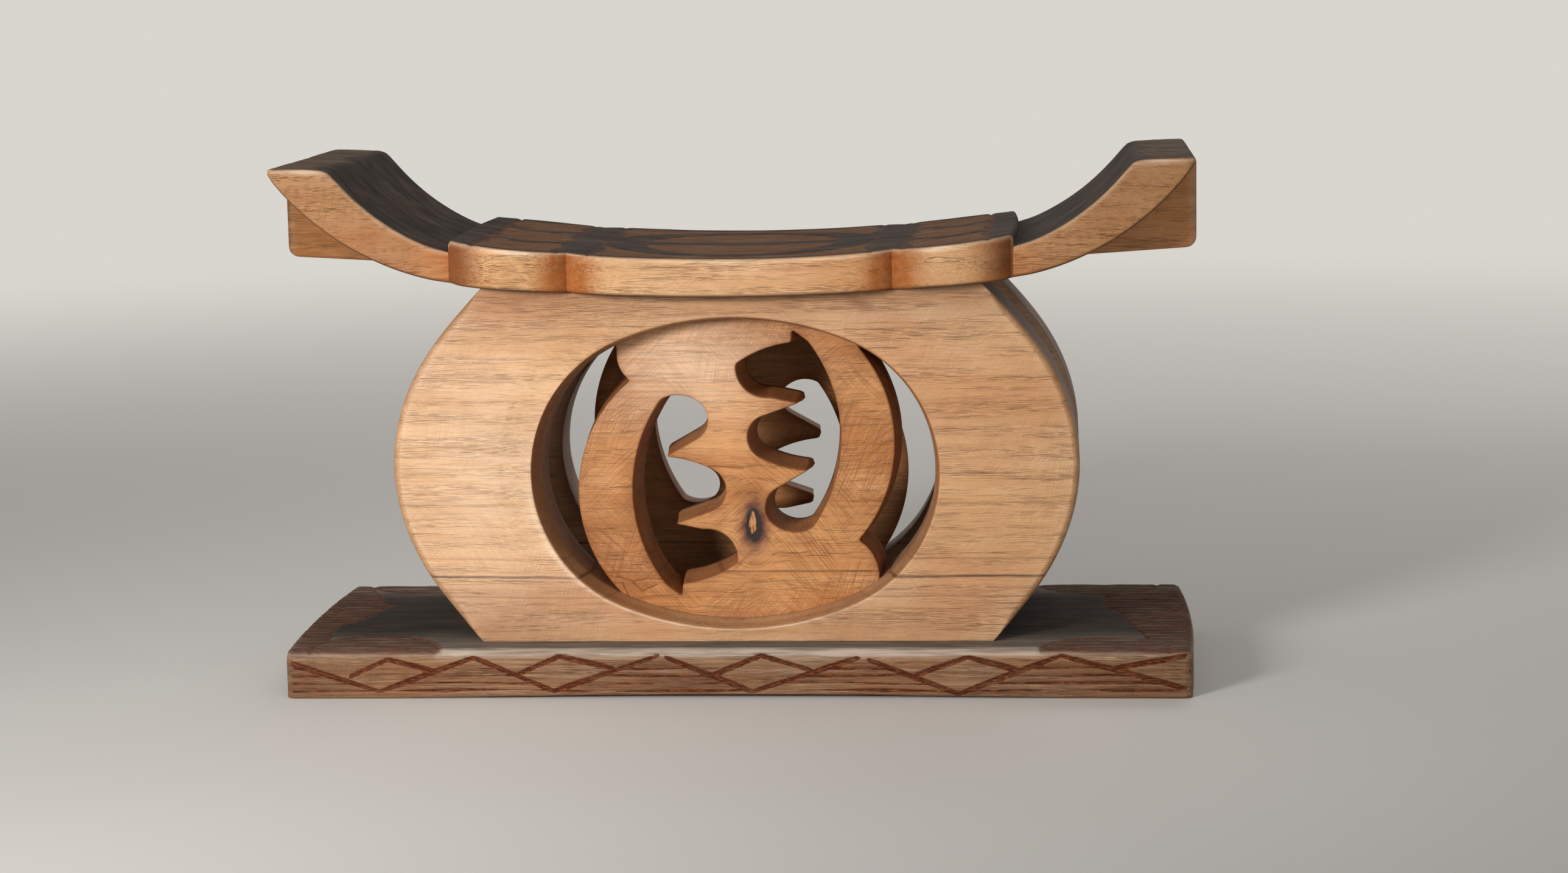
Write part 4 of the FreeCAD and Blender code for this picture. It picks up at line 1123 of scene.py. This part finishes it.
def surroundGrid():
    # The section goes up the window's wall, round its soft rim, over the face, down the flank and back
    # over the inner face, and is carried once round the window. Each row is the rim or the outline, moved
    # along its normals, at one depth; roundings are quarter circles, and the face dips towards the rim by
    # the roll times e to the minus four squares of the way in over its reach.
    outer = panelOutline()
    angle = np.arctan2(*(outer - windowCentre).T[::-1])
    rim = onOval(angle, 0)
    rimOut = outward(rim)
    edgeIn = -outward(outer)
    rows, marks = [], []
    backArris, lean = panel["backArris"], panel["lean"]
    worn = smooth(-np.cos(angle + 0.1), 0.72, 1.0)[:, None]
    lower = smooth(-np.sin(angle + 0.35), 0.2, 0.9)        # where the lower rim gets a painted highlight and its wall is painted lighter
    wallStainAndShade = 0.6 - 0.3 * lower + 0.2 * smooth(-np.cos(angle), 0.5, 1.0)      # stain on the window's wall, with painted shade: more on the left wall, less on the lower wall
    soft, deep, roll = (panel[k][0] + (panel[k][1] - panel[k][0]) * worn
                        for k in ("rimRounding", "rimDepth", "rimRoll"))
    flank = smooth(outer[:, 1] - plankTop, 2, 16) * smooth(underside(outer[:, 0]) - outer[:, 1], 3, 14)
    arris = (panel["arris"][0] + (panel["arris"][1] - panel["arris"][0]) * flank)[:, None]

    def row(flat, y, stainAndShade=0.0, rubAndHighlight=0.0, worn=0.0):
        # one more row of the grid and its marks
        rows.append(np.column_stack([flat[:, 0], np.broadcast_to(np.ravel(y), len(flat)), flat[:, 1]]))
        marks.append(np.stack([np.broadcast_to(np.ravel(m), len(flat)) for m in (stainAndShade, rubAndHighlight, worn)], -1))

    for t in (0, 0.5, 1):
        row(rim - rimOut * (lean - backArris * (1 - t)), backY - backArris * t, 0.45, 0.1, 0.5)
    for y in np.linspace(backY - backArris, plateY, 10)[1:]:
        row(rim - rimOut * lean, y, 0.7, 0.0, 0.12 * (y - plateY) / (backY - plateY))
    for t in np.linspace(0, 1, 8)[1:]:
        y = plateY + (frontY + deep - plateY) * t
        share = (y - frontY) / (plateY - frontY)
        row(rim - rimOut * lean * share, y, wallStainAndShade, 0, 0)
    for turn in np.linspace(0, math.pi / 2, 8)[1:]:
        row(rim + rimOut * soft * (1 - math.cos(turn)), frontY + roll + (deep - roll) * (1 - math.sin(turn)),
            0.5 * (1 - turn / 1.57) ** 3, 0.75 * lower * math.sin(turn * 1.2) ** 3, 0)
    inner, edge = rim + rimOut * soft, outer + edgeIn * arris
    span = np.hypot(*(edge - inner).T)
    for t in np.linspace(0, 1, 27)[1:]:
        dip = roll[:, 0] * np.exp(-(span * t / panel["rollReach"]) ** 2 * 4)
        near = min(t, 1 - t)
        row(inner + (edge - inner) * t, frontY + dip, 0, 0.12 * math.exp(-near * 22), 0)
    for turn in np.linspace(0, math.pi / 2, 7)[1:]:
        row(outer + edgeIn * arris * (1 - math.sin(turn)), frontY + arris * (1 - math.cos(turn)),
            0.16 + 0.2 * turn, 0.0, 0.1 * turn)
    for t in np.linspace(0, 1, 16)[1:]:
        row(outer, frontY + arris + (backY - backArris - frontY - arris) * t, 0.4, 0, 1.0)
    for t in (0.5, 1):
        row(outer + edgeIn * backArris * t, backY - backArris * (1 - t), 0.1, 0.2, 0.5)
    innerBack, outerBack = rim - rimOut * (lean - backArris), outer + edgeIn * backArris
    for t in np.linspace(0, 1, 12)[1:-1]:
        row(outerBack + (innerBack - outerBack) * t, backY, 0.0, 0.0, 0.3)
    grid, marks = np.stack(rows), np.stack(marks).copy()
    x, y, z = grid[..., 0], grid[..., 1], grid[..., 2]
    # a painted highlight pales the left cheek; stain and a painted shadow darken the strip under the seat,
    # and painted shade darkens the foot, most at the lower left
    cheekHighlight = np.exp(-((x + 120) / 36) ** 2 - ((z - 112) / 50) ** 2) * (y < -64)
    marks[..., 1] += 0.42 * cheekHighlight
    stain = 0.42 * smooth(z, 170, 200) + (0.24 + 0.2 * np.exp(-((x + 115) / 45) ** 2)) * smooth(70 - z, 0, 30)
    marks[..., 0] += stain * (y < -60) * (1 - marks[..., 0])
    # the outside was shaped by eye: it wanders by a third of a millimetre
    free = smooth(z, plankTop + 0.5, plankTop + 6) * smooth(underside(x) - z, 0.6, 6)
    grid[..., 1] = y + 0.3 * free * unevenness(x / 31, z / 27, 17) * smooth(-y, 40, 60) * 0.5 + 0.15 * free
    return grid, marks


def strokePoints(stroke, step):
    # a straight stroke, or the arc through three places, as points spaced by step; the arc's middle is as
    # far from the first place as from the other two, which gives two linear equations
    scale = np.array([panel["windowHalfWidth"], panel["windowHalfHeight"]])
    centre = windowCentre + (0, symbol["rise"])
    places = np.array(stroke) * scale + centre
    if len(places) == 2:
        count = max(int(np.hypot(*(places[1] - places[0])) / step), 2)
        return places[0] + (places[1] - places[0]) * np.linspace(0, 1, count)[:, None]
    a, b, c = places
    system = 2 * np.array([b - a, c - a])
    middle = np.linalg.solve(system, [b @ b - a @ a, c @ c - a @ a])
    radius = np.hypot(*(a - middle))
    start, mid, end = [math.atan2(*(p - middle)[::-1]) for p in places]
    direction = 1 if (mid - start) % (2 * math.pi) < (end - start) % (2 * math.pi) else -1
    sweep = direction * ((direction * (end - start)) % (2 * math.pi))
    count = max(int(abs(sweep) * radius / step), 3)
    turn = start + sweep * np.linspace(0, 1, count)
    return middle + radius * np.column_stack([np.cos(turn), np.sin(turn)])


def evenLoop(loop, step):
    # the same closed loop with even spacing
    closed = np.concatenate([loop, loop[:1]])
    along = np.concatenate([[0], np.cumsum(np.hypot(*np.diff(closed, axis=0).T))])
    keep = np.concatenate([[True], np.diff(along) > 1e-6])
    closed, along = closed[keep], along[keep]
    s = np.linspace(0, along[-1], int(along[-1] / step), endpoint=False)
    return np.column_stack([np.interp(s, along, closed[:, 0]), np.interp(s, along, closed[:, 1])])


def softened(loop, passes):
    # a knife and sandpaper take the points off: each pass averages neighbours
    for _ in range(passes):
        loop = loop * 0.5 + (np.roll(loop, 1, 0) + np.roll(loop, -1, 0)) * 0.25
    return loop


def strokeRun(strokes):
    # strokes that meet end to end, as one run of points
    return np.concatenate([strokePoints(s, symbol["step"])[:-1] for s in strokes]
                          + [strokePoints(strokes[-1], symbol["step"])[-1:]])


def symbolLoops():
    # anticlockwise. Outer loop: down the right crescent, along the window, up the left crescent and back;
    # inner loops: the cut with the two teeth and the same turned half round
    right, left = strokeRun(symbol["rightCrescent"]), strokeRun(symbol["leftCrescent"])

    def windowRun(fromPoint, toPoint):
        # the shorter way round, just outside the window, so that the symbol is let into the surround
        start = math.atan2(*(fromPoint - windowCentre)[::-1])
        end = math.atan2(*(toPoint - windowCentre)[::-1])
        sweep = (end - start + math.pi) % (2 * math.pi) - math.pi
        turn = start + sweep * np.linspace(0, 1, 150)
        return onOval(turn, panel["lean"] - symbol["bury"])

    def insideOnly(run):
        # from where the stroke enters the window to where it leaves it
        angle = np.arctan2(*(run - windowCentre).T[::-1])
        limit = np.hypot(*(onOval(angle, panel["lean"] - symbol["bury"]) - windowCentre).T)
        return run[np.hypot(*(run - windowCentre).T) < limit - 0.05]

    right, left = insideOnly(right), insideOnly(left)
    bottom = windowRun(right[-1], left[-1])
    top = windowRun(left[0], right[0])
    outer = np.concatenate([right, bottom[1:-1], left[::-1], top[1:-1]])
    inner = strokeRun(symbol["inner"])[:-1]
    turned = 2 * (windowCentre + (0, symbol["rise"])) - inner
    loops = []
    for loop in (outer, inner, turned):
        loop = softened(evenLoop(loop, symbol["step"]), 3)
        x, z = loop.T
        signed = (x * np.roll(z, -1) - np.roll(x, -1) * z).sum()
        loops.append(loop if signed > 0 else loop[::-1])
    return loops


def roomAcross(loop, into, limit):
    # free way from each point of an opening's wall to the wall across it: the nearest place where the
    # point plus t times its normal meets an edge's start plus u times the edge, with u between 0 and 1
    reach = np.full(len(loop), limit)
    after = np.roll(loop, -1, 0) - loop
    for k in range(len(loop)):
        rel = loop - loop[k]
        cross = into[k, 0] * after[:, 1] - into[k, 1] * after[:, 0]
        cross = np.where(np.abs(cross) < 1e-9, 1e-9, cross)
        t = (rel[:, 0] * after[:, 1] - rel[:, 1] * after[:, 0]) / cross
        u = (rel[:, 0] * into[k, 1] - rel[:, 1] * into[k, 0]) / cross
        hit = (u >= 0) & (u <= 1) & (t > 0.4)
        if hit.any():
            reach[k] = min(limit, t[hit].min())
    return reach


def intoWood(loop, number):
    # unit normals of a loop that point into the wood: inwards on the outer loop, outwards on an opening
    into = outward(loop) * (-1 if number == 0 else 1)
    return into / np.hypot(*into.T)[:, None]


def insideSymbol(points, loops):
    outer, opening, turned = (insideOutline(points, loop) for loop in loops)
    return outer & ~opening & ~turned


def symbolFront(loops, starts, ends):
    # Front face: rings of points close behind every edge, rows beside the slips and an even fill, joined
    # into triangles. The arris is a quarter circle of the distance from the edge; a slip is a V.
    arris = symbol["arris"]
    rimPoints = []
    for number, loop in enumerate(loops):
        into = intoWood(loop, number)
        for inset, every in ((0.22, 1), (0.5, 1), (0.8, 1), (1.5, 2)):
            ring = loop + into * inset
            clear = distanceToEdges(ring, starts, ends) > inset * 0.93
            rimPoints.append(ring[clear][::every])
    slips = [np.array(slip, float) for slip in symbol["slips"]]
    slipStarts = np.concatenate([slip[:-1] for slip in slips])
    slipEnds = np.concatenate([slip[1:] for slip in slips])
    for a, b in zip(slipStarts, slipEnds):
        along = a + (b - a) * np.linspace(0, 1, int(np.hypot(*(b - a)) / 0.7) + 2)[:, None]
        aside = np.array([a[1] - b[1], b[0] - a[0]]) / np.hypot(*(b - a))
        rimPoints += [along + aside * offset for offset in (-0.55, -0.28, 0.0, 0.28, 0.55)]
    low, high = loops[0].min(0), loops[0].max(0)
    gx, gz = np.meshgrid(*(np.arange(low[k], high[k], symbol["fill"]) for k in range(2)))
    fill = np.column_stack([gx.ravel(), gz.ravel()])
    fill = fill[insideSymbol(fill, loops)]
    fill = fill[distanceToEdges(fill, starts, ends) > symbol["fill"]]
    fill = fill[distanceToEdges(fill, slipStarts, slipEnds) > 1.6]
    loose = np.concatenate(rimPoints + [fill])
    loose = loose[insideSymbol(loose, loops)]
    triangles, crossings = triangulate(loops, loose)
    loose = np.concatenate([loose, crossings.reshape(-1, 2)])
    away = distanceToEdges(loose, starts, ends)
    slip = np.clip(1 - distanceToEdges(loose, slipStarts, slipEnds) / symbol["slipHalfWidth"], 0, 1)
    dip = quarterFall(arris - away, arris) + slip * symbol["slipDepth"]
    rimCount = len(starts)
    front = np.column_stack([np.concatenate([starts[:, 0], loose[:, 0]]),
                             np.concatenate([np.full(rimCount, plateY + arris), plateY + dip]),
                             np.concatenate([starts[:, 1], loose[:, 1]])])
    # stain keeps to the edges and the lower left, and a painted highlight pales the top left
    x, z = front[:, 0], front[:, 2]
    distance = np.concatenate([np.zeros(rimCount), away])
    marks = np.zeros((len(front), 3))
    blotch = smooth(unevenness(x / 15, z / 15, 44), -0.6, 0.7)
    marks[:, 0] = 0.42 * np.exp(-distance / 0.8) + 0.26 * np.exp(-distance / 7) * blotch
    marks[:, 0] += 0.4 * np.exp(-((x + 76) / 24) ** 2 - ((z - 72) / 34) ** 2)
    marks[rimCount:, 0] += 0.6 * smooth(slip, 0, 0.6)
    marks[:, 1] = 0.62 * np.exp(-((x + 25) / 45) ** 2 - ((z - 160) / 26) ** 2)
    return front, marks, triangles, fill


def wallMoves(loops):
    # how far each wall moves into its opening by the back: the taper or the share of a narrow opening,
    # whichever is less, and nothing where the edge is let into the surround
    moves = []
    for number, loop in enumerate(loops):
        outOfWood = -intoWood(loop, number)
        room = roomAcross(loop, outOfWood, 30.0)
        angle = np.arctan2(*(loop - windowCentre).T[::-1])
        window = np.hypot(*(onOval(angle, panel["lean"]) - windowCentre).T)
        buried = window - np.hypot(*(loop - windowCentre).T)
        much = np.minimum(symbol["taper"], room * symbol["roomShare"]) * smooth(buried, -1.0, 3.0)
        moves.append(outOfWood * softened(much[:, None], 12))
    return np.concatenate(moves)


def symbolSurface():
    # front face, walls and back face; each row of a wall is the loop plus its moves times a power of the
    # depth's share
    loops = symbolLoops()
    arris, backPlane = symbol["arris"], backY - symbol["backInset"]
    starts = np.concatenate(loops)
    ends = np.concatenate([np.roll(loop, -1, 0) for loop in loops])
    rimCount = len(starts)
    front, frontMarks, frontTriangles, fill = symbolFront(loops, starts, ends)
    moves = wallMoves(loops)
    blocks, markBlocks = [front], [frontMarks]
    depths = np.linspace(0, 1, symbol["wallRows"] + 1)[1:]
    for share in depths:
        flat = starts + moves * share ** symbol["wallCurve"]
        y = plateY + arris + (backPlane - plateY - arris) * share
        blocks.append(np.column_stack([flat[:, 0], np.full(rimCount, y), flat[:, 1]]))
        markBlocks.append(np.tile([0.62 - 0.1 * share, 0.0, 0.1 * share ** 3], (rimCount, 1)))
    backFlat = blocks[-1][:, [0, 2]]
    sizes = np.cumsum([0] + [len(loop) for loop in loops])
    backLoops = [backFlat[a:b] for a, b in zip(sizes, sizes[1:])]
    backStarts = np.concatenate(backLoops)
    backEnds = np.concatenate([np.roll(loop, -1, 0) for loop in backLoops])
    backFill = fill[distanceToEdges(fill, backStarts, backEnds) > 1.2]
    backTriangles, crossings = triangulate(backLoops, backFill)
    backFill = np.concatenate([backFill, crossings.reshape(-1, 2)])
    blocks.append(np.column_stack([backFill[:, 0], np.full(len(backFill), backPlane), backFill[:, 1]]))
    markBlocks.append(np.tile([0.0, 0.0, 0.3], (len(backFill), 1)))
    firstRow = len(front)
    lastRow = firstRow + (len(depths) - 1) * rimCount
    quads = []
    for a, b in zip(sizes, sizes[1:]):
        here = np.arange(a, b)
        after = np.roll(here, -1)
        quads.append(np.column_stack([here, after, firstRow + after, firstRow + here]))
        for k in range(len(depths) - 1):
            row = firstRow + k * rimCount
            nextRow = row + rimCount
            quads.append(np.column_stack([row + here, row + after, nextRow + after, nextRow + here]))
    back = np.where(backTriangles < rimCount, backTriangles + lastRow,
                    backTriangles - rimCount + lastRow + rimCount)
    return np.concatenate(blocks), [np.concatenate(quads), frontTriangles, back], np.concatenate(markBlocks)


def consistent(points, faces):
    # triangles of the caps turn the way that the walls need: front caps face -Y, back caps +Y
    quads, frontCap, backCap = faces

    def facingY(triangles):
        # the Y part of each triangle's normal
        a, b, c = (points[triangles[:, k]] for k in range(3))
        return np.cross(b - a, c - a)[:, 1]

    frontCap = np.where((facingY(frontCap) > 0)[:, None], frontCap[:, ::-1], frontCap)
    backCap = np.where((facingY(backCap) < 0)[:, None], backCap[:, ::-1], backCap)
    # a front triangle's edge must run against the wall quad's edge
    wallEdges = set(zip(quads[:, 0].tolist(), quads[:, 1].tolist()))
    capEdges = set()
    for k in range(3):
        capEdges |= set(zip(frontCap[:, k].tolist(), frontCap[:, (k + 1) % 3].tolist()))
    if len(wallEdges & capEdges) > len(wallEdges) // 2:
        quads = quads[:, ::-1]
    return [quads, frontCap, backCap]


surround, surroundMarks = surroundGrid()
rowCount, columnCount = surround.shape[:2]
surroundPoints = surround.reshape(-1, 3)
surroundFaces = [quadRows(rowCount, columnCount, True, True)]
symbolPoints, symbolFaces, symbolMarks = symbolSurface()
symbolFaces = consistent(symbolPoints, symbolFaces)
halfTurn = np.array([-1, -1, 1])
for where, turned in (("front", False), ("rear", True)):
    node = where + "_panel"
    spin = halfTurn if turned else np.ones(3)
    meshPiece(where + "_surround", surroundPoints * spin, surroundFaces, surroundMarks.reshape(-1, 3),
              node, panelWood)
    meshPiece(where + "_symbol", symbolPoints * spin, symbolFaces, symbolMarks,
              node, symbolWood)


# pegs stay as the frame has them, inside the wood

for name in ("base_dowels", "seat_dowels", "wing_block_dowels"):
    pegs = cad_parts[name]
    pegs.data.materials.clear()
    pegs.data.materials.append(pegWood)
print("pegs dressed")


# floor, light and camera

studio = {                      # metres, watts and degrees
    "floorColour": "#d9d5cf",
    "floorReach": 30.0,
    "nearFloor": 0.5,           # lit paper up to here, the plain backdrop from farFloor on
    "farFloor": 2.4,
    "worldStrength": 0.33,
    # a gridded soft box at the left, aimed at the stool's left cheek, so that its light fades to the right
    "key": {"place": (-0.75, -1.3, 0.5), "size": 0.4, "watts": 2.35, "spread": 56,
            "aim": (-0.13, -0.07, 0.12)},
    "fill": {"place": (0.9, -1.9, 0.5), "size": 1.2, "watts": 5},
    "rear": {"place": (0.5, 1.3, 1.3), "size": 0.9, "watts": 4.5},
}


def seenRays(tree):
    # 1 for rays by which something is seen: straight, mirrored or through glass; 0 for rays that light
    path = addNode(tree, "ShaderNodeLightPath", {}).outputs
    either = addNode(tree, "ShaderNodeMath", {"operation": "MAXIMUM"},
                     {0: path["Is Camera Ray"], 1: path["Is Glossy Ray"]})
    return addNode(tree, "ShaderNodeMath", {"operation": "MAXIMUM"},
                   {0: either.outputs[0], 1: path["Is Transmission Ray"]}).outputs[0]


def makeFloor():
    # level paper; past arm's length the camera sees it at its plain colour, as a lit backdrop
    sides = (-studio["floorReach"], studio["floorReach"])
    points = [(x, y, 0) for y in sides for x in sides]
    mesh = bpy.data.meshes.new("studio_floor")
    mesh.from_pydata(points, [], [(0, 1, 3, 2)])
    paper = bpy.data.materials.new("matt_backdrop_paper")
    paper.use_nodes = True
    tree = paper.node_tree
    shader = tree.nodes["Principled BSDF"]
    shader.inputs["Base Color"].default_value = linear(studio["floorColour"])
    shader.inputs["Roughness"].default_value = 0.95
    shader.inputs["Specular IOR Level"].default_value = 0.1
    plain = addNode(tree, "ShaderNodeEmission", {"Color": linear(studio["floorColour"])})
    away = addNode(tree, "ShaderNodeVectorMath", {"operation": "LENGTH"},
                   {0: addNode(tree, "ShaderNodeTexCoord", {}).outputs["Object"]})
    fade = {"interpolation_type": "SMOOTHSTEP",
            "From Min": studio["nearFloor"], "From Max": studio["farFloor"]}
    far = addNode(tree, "ShaderNodeMapRange", fade, {"Value": away.outputs["Value"]})
    share = addNode(tree, "ShaderNodeMath", {"operation": "MULTIPLY"}, {0: far.outputs[0], 1: seenRays(tree)})
    mix = addNode(tree, "ShaderNodeMixShader", {},
                  {0: share.outputs[0], 1: shader.outputs[0], 2: plain.outputs[0]})
    tree.links.new(mix.outputs[0], tree.nodes["Material Output"].inputs["Surface"])
    mesh.materials.append(paper)
    floor = bpy.data.objects.new("studio_floor", mesh)
    bpy.context.scene.collection.objects.link(floor)


def makeWorld():
    # white light from all round; the camera sees the floor's colour behind the stool
    world = bpy.data.worlds.new("studio")
    world.use_nodes = True
    tree = world.node_tree
    light = tree.nodes["Background"]
    light.inputs["Color"].default_value = linear("#ffffff")
    light.inputs["Strength"].default_value = studio["worldStrength"]
    behind = addNode(tree, "ShaderNodeBackground", {"Color": linear(studio["floorColour"])})
    mix = addNode(tree, "ShaderNodeMixShader", {},
                  {0: seenRays(tree), 1: light.outputs[0], 2: behind.outputs[0]})
    tree.links.new(mix.outputs[0], tree.nodes["World Output"].inputs["Surface"])
    bpy.context.scene.world = world


def placed(axes, place):
    # the matrix of an object with these X, Y and Z axes, standing at this place
    return Matrix([(*row, p) for row, p in zip(np.column_stack(axes), place)] + [(0, 0, 0, 1)])


def addLamp(name, place, size, watts, spread=180, aim=(0, 0, 0.13)):
    # a round soft box that faces its aim
    lamp = bpy.data.lights.new(name, "AREA")
    lamp.shape = "DISK"
    lamp.size = size
    lamp.energy = watts
    lamp.spread = math.radians(spread)
    lampObject = bpy.data.objects.new(name, lamp)
    lampObject.visible_camera = False
    toward = np.array(aim) - np.array(place)
    back = -toward / np.linalg.norm(toward)
    side = np.cross([0, 0, 1], back)
    side /= np.linalg.norm(side)
    up = np.cross(back, side)
    lampObject.matrix_world = placed([side, up, back], place)
    bpy.context.scene.collection.objects.link(lampObject)


camera = {
    "place": (157.8, -1706.9, 366.4),   # millimetres, worked out from the plank's and seat's corners
    "yaw": -4.637,
    "pitch": 8.291,
    "roll": -1.034,
    "focalPixels": 5600,
    "imageWidth": 2576,
    "sensor": 36.0,
}


def makeCamera():
    # turned right by yaw and down by pitch, then tilted by roll; the lens is the focal length in pixels
    # over the picture's width, times the sensor's width
    yaw, pitch, roll = (math.radians(camera[k]) for k in ("yaw", "pitch", "roll"))
    forward = np.array([math.sin(yaw) * math.cos(pitch), math.cos(yaw) * math.cos(pitch), -math.sin(pitch)])
    right = np.array([math.cos(yaw), -math.sin(yaw), 0])
    up = np.cross(right, forward)
    side = math.cos(roll) * right + math.sin(roll) * up
    top = -math.sin(roll) * right + math.cos(roll) * up
    lens = bpy.data.cameras.new("photo_view")
    lens.sensor_fit = "HORIZONTAL"
    lens.sensor_width = camera["sensor"]
    lens.lens = camera["focalPixels"] / camera["imageWidth"] * camera["sensor"]
    lens.clip_start, lens.clip_end = 0.05, 50
    cameraObject = bpy.data.objects.new("photo_view", lens)
    place = np.array(camera["place"]) * millimetre
    cameraObject.matrix_world = placed([side, top, -forward], place)
    bpy.context.scene.collection.objects.link(cameraObject)
    bpy.context.scene.camera = cameraObject


makeFloor()
for lampName in ("key", "fill", "rear"):
    addLamp(lampName, **studio[lampName])
makeWorld()
bpy.context.scene.view_settings.view_transform = "Standard"
makeCamera()
print("studio made")
